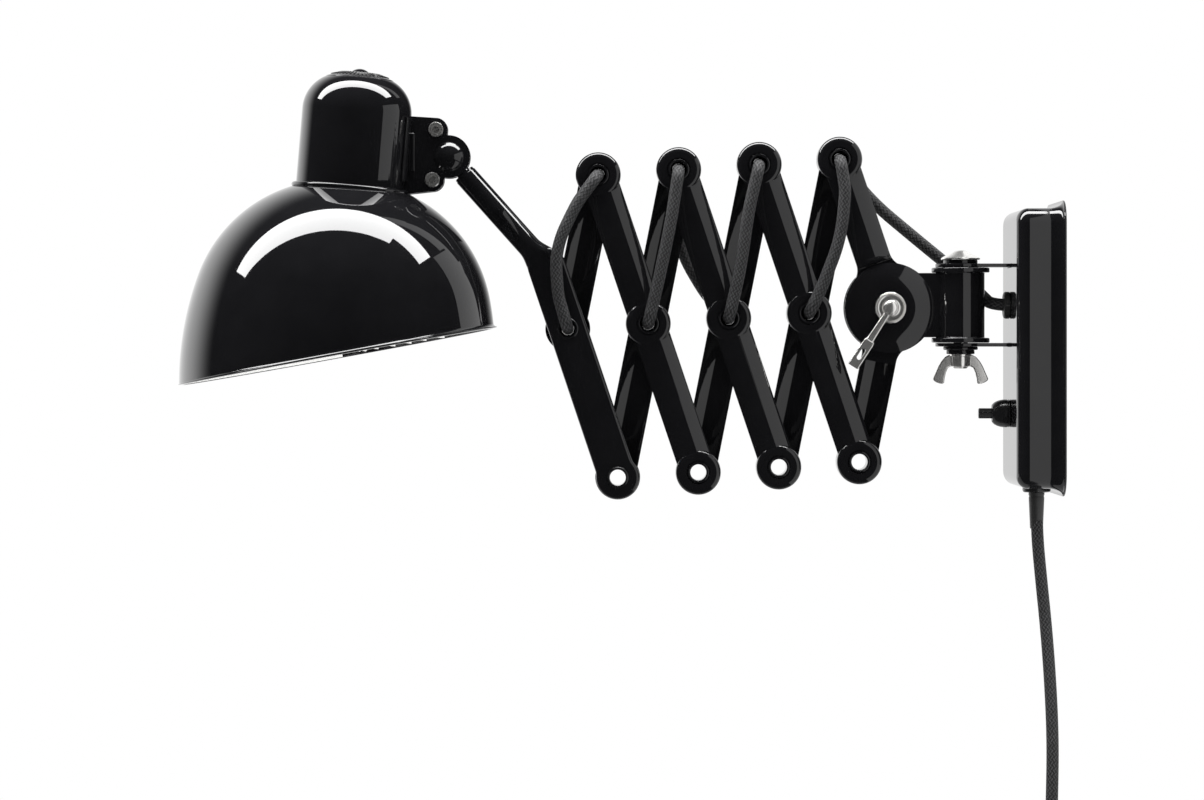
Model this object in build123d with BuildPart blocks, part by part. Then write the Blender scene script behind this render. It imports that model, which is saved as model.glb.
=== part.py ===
from build123d import *
from math import acos, cos, degrees, pi, radians, sin, sqrt, tan
import os

# Scissor linkage
bar_length = 205.0            # between the end pivots of a full bar
half_angle = 14.9             # each bar to the linkage's upright, as shown
droop = 3.7                   # the upright leans, so the head end hangs lower
cell_count = 4
bar_width = 23.0
bar_depth = 9.0
bar_side = 4.6                # height of a bar's side wall below its crown
sheet = 1.0                   # pressed steel of the bars
layer_gap = 0.25              # from the middle plane to the rim of either layer
boss_radius = 14.7
boss_flat = 11.3
boss_rise = 0.4               # the bosses stand proud of the crown
boss_side = 5.4
dimple_radius = 7.6
dimple_depth = 0.9
disc_bar_radius = 29.0        # round end of the two half bars at the wall side
disc_bar_depth = 4.4
disc_bar_flare = 12.0
ramp_reach = 5.0              # length of the sloping step from crown to disc

# Hollow rivets at the pivots
eyelet_bore = 5.2
eyelet_wall = 0.7
eyelet_rim = 7.1
eyelet_rim_height = 0.9
pivot_clearance = 0.06

# Head arm
arm_width = 25.0
arm_depth = 9.0
arm_edge = 2.4
arm_end_radius = 14.2
bend_rise = 43.0              # from the middle pivot to the bend
bend_angle = 23.2
flat_width = 24.0             # where the flattened part starts to become the rod
flat_ease = 0.4
taper_length = 18.0
arm_neck = 12.0
rod_length = 95.8             # from the bend to the ball
rod_radius = 7.6
rod_wall = 1.1
rod_gap = 15.8                # from the ball's centre to the end of the rod

# Ball joint of the head
ball_radius = 10.0
ball_clearance = 0.3
stud_radius = 4.7
collar_radius = 7.2
collar_length = 1.4
plug_in_rod = 9.0
ball_slot = 6.8
shell_inner = 5.0             # from the head's middle plane to the shells
shell_sheet = 1.6
dome_wall = 1.5
boss_of_shell = 14.0
upper_screw = (-8.3, 17.7)    # across and up from the ball
lower_screw = (-10.6, -15.1)
screw_lobe = 7.6
shell_back = 31.0             # the shells reach the neck here
shell_top = 26.5
shell_bottom = -24.5
screw_head_radius = 4.9
screw_head_height = 2.6
screw_shank = 2.0
screw_nut = 3.6
screw_nut_height = 2.4
screw_tip = 0.8
saddle_sheet = 1.5
saddle_reach = 14.5
saddle_low = 4.4
saddle_high = 46.8

# Neck cup over the lampholder
neck_back = 64.2              # neck foot from the ball
neck_drop = 18.2
neck_lean = 4.8
neck_radius = 35.8
neck_wall = 1.2
neck_straight = 47.8
neck_top = 69.6
neck_top_radius = 22.4
bead_radius = 38.7
bead_height = 4.0
neck_skirt = 14.0             # how far the cup reaches below its foot before it is cut to the shade
cap_radius = 22.0
cap_height = 4.0
cap_groove_inner = 9.5
cap_groove_outer = 19.5
cap_groove_depth = 1.2
knob_radius = 6.2
knob_height = 2.6

# Shade
shade_lean = 9.7
shade_shift = 26.3            # from the shade's axis to the neck
shade_height = 115.6
shade_seat = 6.3              # from the shade's highest point down to the neck's foot
crown_radius = 143.0
crown_angle = 9.9
shoulder_radius = 82.7
shoulder_angle = 68.6
side_radius = 288.0
shade_sheet = 1.2
lip_radius = 1.7
shade_hole = 21.5

# Lampholder and bulb
holder_radius = 20.0
holder_foot = 2.0
holder_top = 56.0
nipple_radius = 5.0
socket_radius = 13.4
socket_depth = 30.0
bulb_cap_radius = 13.1
bulb_cap_length = 26.0
globe_radius = 30.0
globe_drop = 40.0
globe_glass = 0.9

# Wall hinge and its friction disc
disc_axis_x = -110.0
disc_axis_z = 26.5
hinge_axis_x = -63.2
hinge_axis_z = 28.3
barrel_radius = 15.75
barrel_half_height = 21.3
barrel_flange_radius = 19.0
barrel_flange = 3.2
hinge_bolt_radius = 5.0
hinge_gap = 0.2
cheek_gap = 0.3
cheek_radius = 29.5
cheek_rise = 6.5
cheek_rim = 2.0
cheek_flat = 15.0
cheek_sheet = 1.6
lug_thickness = 2.4
lug_margin = 0.3
lug_root = 18.3               # from the disc's axis to the lug's inner edge
strap_half_width = 13.0
strap_end_radius = 16.5
strap_thickness = 2.4
bracket_plate = 2.2
head_washer_radius = 11.2
head_washer = 2.6
mushroom_radius = 12.8
mushroom_rim = 1.6
mushroom_height = 6.4
lower_washer_radius = 11.4
lower_washer = 2.2
lock_ring_radius = 9.2
lock_ring = 2.7
wing_hub_top = 7.3
wing_hub_foot = 6.1
wing_hub_height = 8.2
wing_span = 18.2
wing_tip_inner = 10.7
wing_drop_outer = 16.0
wing_drop_inner = 19.6
wing_thickness = 2.6
wing_root = 0.6               # the wings start this far outside the thread
wing_inset = 0.4

# Clamp through the friction disc
clamp_bolt_radius = 4.0
clamp_head_radius = 8.0
clamp_head_height = 4.6
cup_radius = 10.2
cup_height = 3.0
cup_rim = 1.2
lever_hub_radius = 5.0
lever_hub_height = 5.6
lever_angle = 32.9
lever_stem = 25.6
lever_stem_width = 4.4
lever_grip = 20.0
lever_grip_width = 7.4
lever_thickness = 3.2
lever_slot_width = 3.2

# Wall box
box_height = 181.0
box_width = 95.0
box_depth = 31.0
box_corner = 10.0
box_edge = 8.0
box_wall = 1.2
flange_reach = 5.0
flange_sheet = 1.2
flange_flare = 2.8
plate_thickness = 1.6
plate_clearance = 0.3
wall_screw_pitch = 140.0
wall_screw_hole = 2.6
tab_width = 14.0
tab_depth = 16.0
tab_sheet = 1.6
lower_tab_side = 28.0
cover_screw_inset = 9.0
cover_screw_head = 3.0
cover_screw_shank = 1.5
cover_screw_length = 7.0
grommet_radius = 8.85
grommet_height = 4.4
grommet_neck = 6.0
grommet_inner = 7.5
grommet_lip = 2.0
switch_drop = 42.5
collar_base = 9.1
collar_tip = 6.1
collar_reach = 11.7
bush_radius = 5.0
button_radius = 3.4
button_reach = 8.8
button_travel = 3.0
button_clearance = 0.08
switch_body_length = 17.0
switch_body_radius = 9.0
terminal_size = (12.0, 20.0, 32.0)
terminal_side = -28.0
terminal_drop = 8.0
terminal_ways = 3
gland_depth = 13.4            # from the wall to the gland's axis
gland_radius = 9.2
gland_height = 3.6
gland_neck = 6.0
gland_nut = 8.0
gland_nut_height = 3.0

# Cords
cord_radius = 4.0
lead_radius = 3.0
lead_clearance = 0.3
lead_bend = 5.0
cord_plane = 14.6             # the linkage cord runs this far off the middle plane
cord_exit_radius = 9.0
grommet_bend = 8.0
shorter_run_share = 0.45
coil_radius = 55.0            # outermost turn of the layer by the wall
coil_pitch = 8.7
coil_half_turns = 5           # in each layer before the spiral turns back
coil_wall_side = -9.5
coil_lead_in = 8.0
tie_width = 9.0
tie_thickness = 1.2
tie_slack = 0.4
plug_relief = 22.0
plug_relief_radius = 5.6
plug_width = 34.0
plug_thickness = 13.7
plug_length = 28.0
plug_neck_width = 20.0
plug_edge = 3.0
pin_radius = 2.0
pin_length = 19.0
pin_pitch = 18.6

# Free route of the mains cord, from the gland to the coil
gland_mouth_z = -box_height / 2 - gland_height
mains_route = [
    (-gland_depth, 0.0, gland_mouth_z),
    (-gland_depth, 0.0, -118.0),
    (-11.3, -5.5, -148.0),
    (-8.7, -14.0, -182.0),
    (-7.3, -25.0, -217.0),
    (-6.9, -35.5, -254.0),
    (-8.3, -41.5, -292.0),
    (coil_wall_side, -43.0, -325.0),
    (coil_wall_side, -43.0, -358.0),
]

# Bows of the linkage cord: share of the way down, aside, further out
front_bows = {
    1: [(0.22, -10.5, 3.0), (0.52, -18.0, 5.0), (0.80, -10.5, 2.6)],
    2: [(0.34, 1.6, 1.2), (0.68, 1.2, 1.0)],
    3: [(0.30, -1.2, 1.2), (0.66, 0.9, 1.4)],
    4: [(0.20, 7.4, 1.2), (0.50, 10.2, 2.2), (0.80, 4.8, 1.2)],
}
rear_bows = {
    1: [(0.34, 2.2, 1.2), (0.68, -2.0, 1.6)],
    2: [(0.20, -8.6, 1.4), (0.48, -15.4, 3.4), (0.78, -9.4, 1.4)],
    3: [(0.32, -3.0, 1.4), (0.66, 2.0, 1.2)],
}

parts_folder = "parts"
os.makedirs(parts_folder, exist_ok=True)
front = Vector(0, -1, 0)
rear = Vector(0, 1, 0)
up = Vector(0, 0, 1)
to_wall = Vector(1, 0, 0)


# Write one finished piece
def save(builder, name):
    builder.part.label = name
    export_step(builder.part, f"{parts_folder}/{name}.step")


# Unit direction in the side view, leaning from upright towards the head
def lean(angle):
    return Vector(-sin(radians(angle)), 0, cos(radians(angle)))


# Plane whose x axis runs along a direction and whose y axis points outward
def side_plane(origin, along, outward):
    return Plane(origin=origin, x_dir=along, z_dir=along.cross(outward))


# Plane across a direction, with its y axis pointing outward
def cross_plane(origin, along, outward):
    return Plane(origin=origin, x_dir=outward.cross(along), z_dir=along)


# Pivots of the linkage
front_up = lean(half_angle + droop)
rear_up = lean(droop - half_angle)
half_bar = bar_length / 2
disc_axis = Vector(disc_axis_x, 0, disc_axis_z)
cell_step = (front_up - rear_up) * half_bar
top_pivots = {}
middle_pivots = {}
bottom_pivots = {}
for cell in range(1, cell_count + 1):
    top_pivots[cell] = disc_axis + front_up * half_bar + cell_step * (cell_count - cell)
    middle_pivots[cell] = top_pivots[cell] - rear_up * half_bar
    bottom_pivots[cell] = middle_pivots[cell] - front_up * half_bar

# Axes of the head
arm_middle = layer_gap + arm_depth / 2
head_offset = front * arm_middle
bend_point = middle_pivots[1] + front_up * bend_rise + head_offset
rod_up = lean(half_angle + droop + bend_angle)
ball_centre = bend_point + rod_up * rod_length
neck_foot = ball_centre - to_wall * neck_back - up * neck_drop
neck_plane = Plane(origin=neck_foot, x_dir=lean(-neck_lean).cross(front), z_dir=lean(-neck_lean))
shade_up = lean(shade_lean)
shade_side = shade_up.cross(front)
shade_top = neck_foot - shade_side * shade_shift + shade_up * shade_seat
rim_centre = shade_top - shade_up * shade_height


# Round face looking along a direction
def round_face(origin, direction, radius):
    with BuildSketch(Plane(origin=origin, z_dir=direction)) as face:
        Circle(radius)
    return face.sketch


# Section of a bar, open towards the other layer
def crowned_section(plane, thinner):
    half = bar_width / 2 - thinner
    side = bar_side - thinner / 2
    with BuildSketch(plane) as section:
        with BuildLine():
            Polyline((-half, side), (-half, -thinner), (half, -thinner), (half, side))
            ThreePointArc((half, side), (0, bar_depth - thinner), (-half, side))
        make_face()
    return section.sketch


# Half section of a domed disc with a flat middle
def domed_section(plane, radius, side, flat, height, foot):
    with BuildSketch(plane) as section:
        with BuildLine():
            Polyline((flat, height), (0, height), (0, foot), (radius, foot), (radius, side))
            TangentArc((flat, height), (radius, side), tangent=(1, 0))
        make_face()
    return section.sketch


# Dimple and rivet hole of one boss, cut in the bar in hand
def seat_rivet(pivot, outward):
    floor = bar_depth + boss_rise - dimple_depth
    sole = pivot + outward * (floor - sheet)
    hole = eyelet_bore + eyelet_wall + pivot_clearance
    extrude(round_face(sole, outward, dimple_radius + sheet), amount=sheet)
    extrude(
        round_face(pivot + outward * floor, outward, dimple_radius),
        amount=dimple_depth + boss_rise,
        mode=Mode.SUBTRACT,
    )
    extrude(round_face(pivot, outward, hole), amount=bar_depth + boss_rise, mode=Mode.SUBTRACT)


# Bosses of the bar in hand, outer form or hollow
def press_bosses(pivots, along, outward, thinner, mode):
    for pivot in pivots:
        section = domed_section(
            side_plane(pivot, along, outward),
            boss_radius - thinner,
            boss_side - thinner / 2,
            boss_flat,
            bar_depth + boss_rise - thinner,
            -thinner,
        )
        revolve(section, axis=Axis(pivot, outward), mode=mode)


# Full bar or plain half bar
def pressed_bar(name, foot_pivot, head_pivot, outward, pivots):
    shift = outward * layer_gap
    low = foot_pivot + shift
    high = head_pivot + shift
    along = (high - low).normalized()
    run = (high - low).length
    seats = [pivot + shift for pivot in pivots]
    plane = cross_plane(low, along, outward)
    with BuildPart() as bar:
        extrude(crowned_section(plane, 0), amount=run)
        press_bosses(seats, along, outward, 0, Mode.ADD)
        extrude(crowned_section(plane, sheet), amount=run, mode=Mode.SUBTRACT)
        press_bosses(seats, along, outward, sheet, Mode.SUBTRACT)
        for seat in seats:
            seat_rivet(seat, outward)
    save(bar, name)


# Half bar that ends in a friction disc
def disc_bar(name, pivot, outward):
    centre = disc_axis + outward * layer_gap
    seat = pivot + outward * layer_gap
    along = (seat - centre).normalized()
    run = (seat - centre).length
    start = cheek_radius + 2 * cheek_gap
    slope = along * (bar_depth - disc_bar_depth) - outward * ramp_reach
    plane = cross_plane(centre, along, outward)
    with BuildPart() as bar:
        extrude(crowned_section(plane.offset(start), 0), amount=run - start)
        ramp_foot = centre + along * start + outward * disc_bar_depth
        split(bisect_by=Plane(origin=ramp_foot, z_dir=slope), keep=Keep.TOP)
        press_bosses([seat], along, outward, 0, Mode.ADD)
        with BuildSketch(Plane(origin=centre, x_dir=along, z_dir=outward)) as outline:
            Circle(disc_bar_radius)
            Rectangle(start + ramp_reach, bar_width, align=(Align.MIN, Align.CENTER))
            necks = outline.vertices().filter_by(
                lambda corner: abs(Vector(corner).length - disc_bar_radius) < 0.01
            )
            fillet(necks, radius=disc_bar_flare)
        extrude(amount=disc_bar_depth)
        hollow = start + ramp_reach
        extrude(
            crowned_section(plane.offset(hollow), sheet), amount=run - hollow, mode=Mode.SUBTRACT
        )
        press_bosses([seat], along, outward, sheet, Mode.SUBTRACT)
        seat_rivet(seat, outward)
        bolt_hole = round_face(centre, outward, clamp_bolt_radius + pivot_clearance)
        extrude(bolt_hole, amount=disc_bar_depth, mode=Mode.SUBTRACT)
    save(bar, name)


# Hollow rivets carried by one front bar
def eyelets(name, pivots, front_floor, notched=None):
    rear_floor = layer_gap + bar_depth + boss_rise - dimple_depth + pivot_clearance
    outer = eyelet_bore + eyelet_wall
    crest = (eyelet_bore + eyelet_rim) / 2
    with BuildPart() as rivets:
        for pivot in pivots:
            with BuildSketch(side_plane(pivot, to_wall, front)):
                with BuildLine():
                    Polyline(
                        (eyelet_bore, front_floor + eyelet_rim_height / 2),
                        (eyelet_bore, -rear_floor - eyelet_rim_height / 2),
                    )
                    ThreePointArc(
                        (eyelet_bore, -rear_floor - eyelet_rim_height / 2),
                        (crest, -rear_floor - eyelet_rim_height),
                        (eyelet_rim, -rear_floor),
                    )
                    Polyline(
                        (eyelet_rim, -rear_floor),
                        (outer, -rear_floor),
                        (outer, front_floor),
                        (eyelet_rim, front_floor),
                    )
                    ThreePointArc(
                        (eyelet_rim, front_floor),
                        (crest, front_floor + eyelet_rim_height),
                        (eyelet_bore, front_floor + eyelet_rim_height / 2),
                    )
                make_face()
            revolve(axis=Axis(pivot, front))
        if notched is not None:
            with BuildSketch(Plane(origin=notched + head_offset, z_dir=front_up)):
                Circle(lead_radius + lead_clearance)
            extrude(amount=eyelet_rim, mode=Mode.SUBTRACT)
    save(rivets, name)
    return rivets


# Corner radii of a cord's route, as large as its runs allow
def route_radii(name, points, tight):
    places = [Vector(*point) for point in points]
    radii = []
    for index in range(1, len(places) - 1):
        before = places[index] - places[index - 1]
        after = places[index + 1] - places[index]
        turn = radians(before.get_angle(after))
        largest = shorter_run_share * min(before.length, after.length) / tan(turn / 2)
        radii.append(min(largest, tight.get(index, largest)))
    print(name, "radii", [round(radius, 1) for radius in radii])
    return radii


# Round cord along a route
def cord_tube(name, points, radius, tight=None):
    radii = route_radii(name, points, tight or {})
    with BuildPart() as tube:
        with BuildLine() as route:
            FilletPolyline(points, radius=radii)
        with BuildSketch(Plane(origin=route.line @ 0, z_dir=route.line % 0)):
            Circle(radius)
        sweep()
    length = route.wire().length
    section = pi * radius * radius
    print(name, "length", round(length, 1), "fill", round(tube.part.volume / (section * length), 4))
    save(tube, name)
    return tube


# Stretch of the linkage cord that lies along a half bar
def held_stretch(name, start, end, outward, bows):
    down = end - start
    aside = to_wall - down * (to_wall.dot(down) / down.dot(down))
    aside = aside.normalized()
    points = [start, start + outward * cord_plane]
    for share, sideways, further in bows:
        points.append(start + down * share + aside * sideways + outward * (cord_plane + further))
    points.append(end + outward * cord_plane)
    points.append(end)
    last = len(points) - 2
    route = [(point.X, point.Y, point.Z) for point in points]
    cord_tube(name, route, cord_radius, {1: cord_exit_radius, last: cord_exit_radius})


# Bars of the linkage
for cell in range(1, cell_count):
    pressed_bar(
        f"front_bar_{cell}",
        bottom_pivots[cell + 1],
        top_pivots[cell],
        front,
        [bottom_pivots[cell + 1], middle_pivots[cell + 1], top_pivots[cell]],
    )
for cell in range(2, cell_count + 1):
    pressed_bar(
        f"rear_bar_{cell}",
        bottom_pivots[cell - 1],
        top_pivots[cell],
        rear,
        [bottom_pivots[cell - 1], middle_pivots[cell], top_pivots[cell]],
    )
pressed_bar("rear_half_bar", middle_pivots[1], top_pivots[1], rear, [middle_pivots[1], top_pivots[1]])
disc_bar("front_disc_bar", top_pivots[cell_count], front)
disc_bar("rear_disc_bar", bottom_pivots[cell_count], rear)

# Rivets of the linkage
boss_floor = layer_gap + bar_depth + boss_rise - dimple_depth
for cell in range(1, cell_count):
    eyelets(
        f"front_bar_{cell}_rivets",
        [top_pivots[cell], middle_pivots[cell + 1], bottom_pivots[cell + 1]],
        boss_floor,
    )
eyelets("disc_bar_rivet", [top_pivots[cell_count]], boss_floor)
eyelets(
    "head_arm_rivets",
    [middle_pivots[1], bottom_pivots[1]],
    layer_gap + arm_depth,
    middle_pivots[1],
)

# Head arm: a tube, flattened from the bend down to the lowest pivot
arm_foot = bottom_pivots[1] + front * layer_gap
flat_plane = Plane(origin=arm_foot, x_dir=front_up, z_dir=front)
bend_run = (bend_point - head_offset - bottom_pivots[1]).length
taper_end = bend_point + rod_up * taper_length
with BuildPart() as head_arm:
    with BuildSketch(flat_plane) as outline:
        Circle(arm_end_radius)
        with Locations((bend_run, 0)):
            Circle(arm_width / 2)
        with Locations((bend_run / 2, 0)):
            Rectangle(bend_run, arm_width)
        necks = outline.vertices().filter_by(
            lambda corner: abs(Vector(corner).length - arm_end_radius) < 0.01
        )
        fillet(necks, radius=arm_neck)
    extrude(amount=arm_depth)
    rims = head_arm.faces().filter_by(Axis.Y).edges()
    fillet(rims, radius=arm_edge)
    with BuildSketch(cross_plane(bend_point, rod_up, front)):
        SlotOverall(flat_width, arm_depth - flat_ease)
    with BuildSketch(cross_plane(taper_end, rod_up, front)):
        Circle(rod_radius)
    loft()
    with BuildSketch(cross_plane(taper_end, rod_up, front)):
        Circle(rod_radius)
    extrude(amount=rod_length - taper_length - rod_gap)
    with BuildSketch(cross_plane(taper_end, rod_up, front)):
        Circle(rod_radius - rod_wall)
    extrude(amount=rod_length, mode=Mode.SUBTRACT)
    with BuildSketch(cross_plane(bend_point, rod_up, front)):
        Circle(lead_radius + lead_clearance)
    extrude(amount=rod_length, mode=Mode.SUBTRACT)
    with BuildSketch(cross_plane(middle_pivots[1] + head_offset, front_up, front)):
        Circle(lead_radius + lead_clearance)
    extrude(amount=bend_rise, mode=Mode.SUBTRACT)
    with Locations(bend_point):
        Sphere(lead_radius + lead_clearance, mode=Mode.SUBTRACT)
    for pivot in (middle_pivots[1], bottom_pivots[1]):
        with BuildSketch(Plane(origin=pivot, z_dir=front)):
            Circle(eyelet_bore + eyelet_wall + pivot_clearance)
        extrude(amount=layer_gap + arm_depth, mode=Mode.SUBTRACT)
save(head_arm, "head_arm")

# Inner lead from the middle pivot, up the arm to the ball
lead_start = middle_pivots[1] + head_offset + front_up * (cord_radius + lead_clearance)
lead_end = bend_point + rod_up * (rod_length - rod_gap - plug_in_rod - 1)
with BuildPart() as arm_lead:
    with BuildSketch(cross_plane(lead_start, front_up, front)):
        Circle(lead_radius)
    extrude(amount=(bend_point - lead_start).length)
    with BuildSketch(cross_plane(bend_point, rod_up, front)):
        Circle(lead_radius)
    extrude(amount=(lead_end - bend_point).length)
    with Locations(bend_point):
        Sphere(lead_radius)
save(arm_lead, "arm_lead")

# Ball with a stud that turns in the end of the rod
stud_plane = side_plane(ball_centre, rod_up * -1, front)
slot_depth = ball_radius + ball_clearance
with BuildPart() as ball_stud:
    with Locations(ball_centre):
        Sphere(ball_radius)
    with BuildSketch(stud_plane):
        with BuildLine():
            Polyline(
                (0, 0),
                (0, stud_radius),
                (rod_gap - collar_length, stud_radius),
                (rod_gap - collar_length, collar_radius),
                (rod_gap, collar_radius),
                (rod_gap, rod_radius - rod_wall - pivot_clearance),
                (rod_gap + plug_in_rod, rod_radius - rod_wall - pivot_clearance),
                (rod_gap + plug_in_rod, 0),
                close=True,
            )
        make_face()
    revolve(axis=Axis(ball_centre, rod_up))
    with BuildSketch(cross_plane(ball_centre, rod_up * -1, front)):
        Circle(lead_radius + lead_clearance)
    extrude(amount=rod_gap + plug_in_rod, mode=Mode.SUBTRACT)
    with BuildSketch(cross_plane(ball_centre, rod_up, front)):
        Rectangle(2 * slot_depth, ball_slot)
    extrude(amount=slot_depth, mode=Mode.SUBTRACT)
save(ball_stud, "ball_stud")

# Outer form of the neck cup, for trimming what meets it
with BuildPart() as neck_form:
    with BuildSketch(neck_plane):
        Circle(neck_radius)
    extrude(amount=neck_top)
    with BuildSketch(neck_plane.offset(bead_height + pivot_clearance)):
        Circle(bead_radius + pivot_clearance)
    extrude(amount=-neck_skirt - bead_height)

# Profile of the shade from its top down, for one side of the sheet
def shade_line(thinner):
    drop = shade_height - crown_radius * (1 - cos(radians(crown_angle)))
    drop -= shoulder_radius * (cos(radians(crown_angle)) - cos(radians(shoulder_angle)))
    rim_angle = degrees(acos(cos(radians(shoulder_angle)) - drop / side_radius))
    crown = JernArc((0, shade_height - thinner), (1, 0), crown_radius - thinner, -crown_angle)
    shoulder = JernArc(
        crown @ 1, crown % 1, shoulder_radius - thinner, crown_angle - shoulder_angle
    )
    return JernArc(
        shoulder @ 1, shoulder % 1, side_radius - thinner, shoulder_angle - rim_angle
    )


shade_plane = Plane(origin=rim_centre, x_dir=shade_side, z_dir=shade_side.cross(shade_up))

# Everything under the shade's outer skin, for trimming
with BuildPart() as shade_form:
    with BuildSketch(shade_plane):
        with BuildLine():
            skin = shade_line(0)
            Polyline(skin @ 1, (0, (skin @ 1).Y), (0, shade_height))
        make_face()
    revolve(axis=Axis(rim_centre, shade_up))

# Shade: one spun sheet with a rolled lip and an opening for the lampholder
with BuildPart() as shade:
    with BuildSketch(shade_plane):
        with BuildLine():
            skin = shade_line(0)
            lining = shade_line(shade_sheet)
            Line(skin @ 1, lining @ 1)
            Line((0, shade_height), (0, shade_height - shade_sheet))
        make_face()
    revolve(axis=Axis(rim_centre, shade_up))
    with BuildSketch(shade_plane):
        with Locations(skin @ 1 + Vector(lip_radius / 2, 0)):
            Circle(lip_radius)
    revolve(axis=Axis(rim_centre, shade_up))
    with BuildSketch(neck_plane.offset(-neck_skirt)):
        Circle(shade_hole)
    extrude(amount=2 * neck_skirt, mode=Mode.SUBTRACT)
save(shade, "shade")

# Neck cup, trimmed to sit on the shade
with BuildPart() as neck_cup:
    with BuildSketch(Plane(origin=neck_foot, x_dir=neck_plane.x_dir, z_dir=front)):
        with BuildLine():
            Line((0, neck_top), (neck_top_radius, neck_top))
            TangentArc((neck_radius, neck_straight), (neck_top_radius, neck_top), tangent=(0, 1))
            Polyline(
                (neck_radius, neck_straight),
                (neck_radius, bead_height),
                (bead_radius - bead_height / 4, bead_height),
            )
            ThreePointArc(
                (bead_radius - bead_height / 4, bead_height),
                (bead_radius, bead_height / 2),
                (bead_radius - bead_height / 4, 0),
            )
            Polyline(
                (bead_radius - bead_height / 4, 0),
                (neck_radius, 0),
                (neck_radius, -neck_skirt),
                (neck_radius - neck_wall, -neck_skirt),
                (neck_radius - neck_wall, neck_straight),
            )
            TangentArc(
                (neck_radius - neck_wall, neck_straight),
                (neck_top_radius - neck_wall / 2, neck_top - neck_wall),
                tangent=(0, 1),
            )
            Polyline(
                (neck_top_radius - neck_wall / 2, neck_top - neck_wall),
                (0, neck_top - neck_wall),
                (0, neck_top),
            )
        make_face()
    revolve(axis=Axis(neck_foot, neck_plane.z_dir))
    add(shade_form.part, mode=Mode.SUBTRACT)
    lead_height = Plane(origin=ball_centre, z_dir=to_wall * -1)
    with BuildSketch(lead_height):
        Circle(lead_radius + lead_clearance)
    extrude(amount=neck_back, mode=Mode.SUBTRACT)
save(neck_cup, "neck_cup")

# Cap on the neck, with a shallow groove and a low knob
cap_plane = Plane(
    origin=neck_foot + neck_plane.z_dir * neck_top, x_dir=neck_plane.x_dir, z_dir=front
)
with BuildPart() as neck_cap:
    with BuildSketch(cap_plane):
        with BuildLine():
            Polyline(
                (knob_radius, cap_height),
                (cap_groove_inner - 1, cap_height),
                (cap_groove_inner, cap_height - cap_groove_depth),
                (cap_groove_outer, cap_height - cap_groove_depth),
                (cap_groove_outer + 1, cap_height),
            )
            TangentArc(
                (cap_groove_outer + 1, cap_height), (cap_radius, cap_height / 2), tangent=(1, 0)
            )
            Polyline((cap_radius, cap_height / 2), (cap_radius, 0), (0, 0))
            Line((0, 0), (0, cap_height + knob_height))
            TangentArc(
                (0, cap_height + knob_height), (knob_radius, cap_height), tangent=(1, 0)
            )
        make_face()
    revolve(axis=Axis(cap_plane.origin, neck_plane.z_dir))
save(neck_cap, "neck_cap")


# One of the two pressed shells that clamp the ball
def clamp_shell(name, outward):
    side = outward.Y
    base = ball_centre + outward * shell_inner
    face = Plane(origin=base, x_dir=to_wall, z_dir=front)
    with BuildPart() as shell:
        with Locations(ball_centre):
            Sphere(ball_radius + ball_clearance + dome_wall)
        split(bisect_by=Plane(origin=base, z_dir=outward), keep=Keep.TOP)
        with BuildSketch(face):
            with BuildSketch(mode=Mode.PRIVATE) as corners:
                for centre in (upper_screw, lower_screw):
                    with Locations(centre):
                        Circle(screw_lobe)
                for height in (shell_top - screw_lobe / 2, shell_bottom + screw_lobe / 2):
                    with Locations((-shell_back + screw_lobe / 2, height)):
                        Circle(screw_lobe / 2)
                hull = make_hull(corners.edges())
            add(hull)
            Circle(boss_of_shell)
        extrude(amount=-shell_sheet * side)
        with Locations(ball_centre):
            Sphere(ball_radius + ball_clearance, mode=Mode.SUBTRACT)
        add(neck_form.part, mode=Mode.SUBTRACT)
        add(shade_form.part, mode=Mode.SUBTRACT)
        with BuildSketch(neck_plane.offset(saddle_low)):
            with BuildSketch(mode=Mode.PRIVATE) as ring:
                Circle(neck_radius + saddle_sheet)
                Circle(neck_radius, mode=Mode.SUBTRACT)
                with Locations((neck_radius, side * (saddle_reach + shell_inner) / 2)):
                    Rectangle(neck_radius, saddle_reach - shell_inner, mode=Mode.INTERSECT)
            add(ring.sketch)
        extrude(amount=saddle_high - saddle_low)
        for centre in (upper_screw, lower_screw):
            with BuildSketch(face.offset(-shell_sheet)):
                with Locations(centre):
                    Circle(screw_shank + pivot_clearance)
            extrude(amount=2 * shell_sheet, mode=Mode.SUBTRACT)
    save(shell, name)
    return shell


clamp_shell("clamp_shell_front", front)
clamp_shell("clamp_shell_rear", rear)

# Screws and nuts through both shells
shell_outer = shell_inner + shell_sheet
with BuildPart() as shell_screws:
    for centre in (upper_screw, lower_screw):
        middle = ball_centre + to_wall * centre[0] + up * centre[1]
        with BuildSketch(side_plane(middle, to_wall, front)):
            with BuildLine():
                Polyline(
                    (0, -shell_outer - screw_nut_height - screw_tip),
                    (screw_shank, -shell_outer - screw_nut_height - screw_tip),
                    (screw_shank, shell_outer),
                    (screw_head_radius, shell_outer),
                    (screw_head_radius, shell_outer + screw_head_height * 0.5),
                )
                TangentArc(
                    (0, shell_outer + screw_head_height),
                    (screw_head_radius, shell_outer + screw_head_height * 0.5),
                    tangent=(1, 0),
                )
                Line(
                    (0, shell_outer + screw_head_height),
                    (0, -shell_outer - screw_nut_height - screw_tip),
                )
            make_face()
        revolve(axis=Axis(middle, front))
        with BuildSketch(Plane(origin=middle + rear * shell_outer, z_dir=rear)):
            RegularPolygon(screw_nut, 6)
        extrude(amount=screw_nut_height)
save(shell_screws, "shell_screws")

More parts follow.
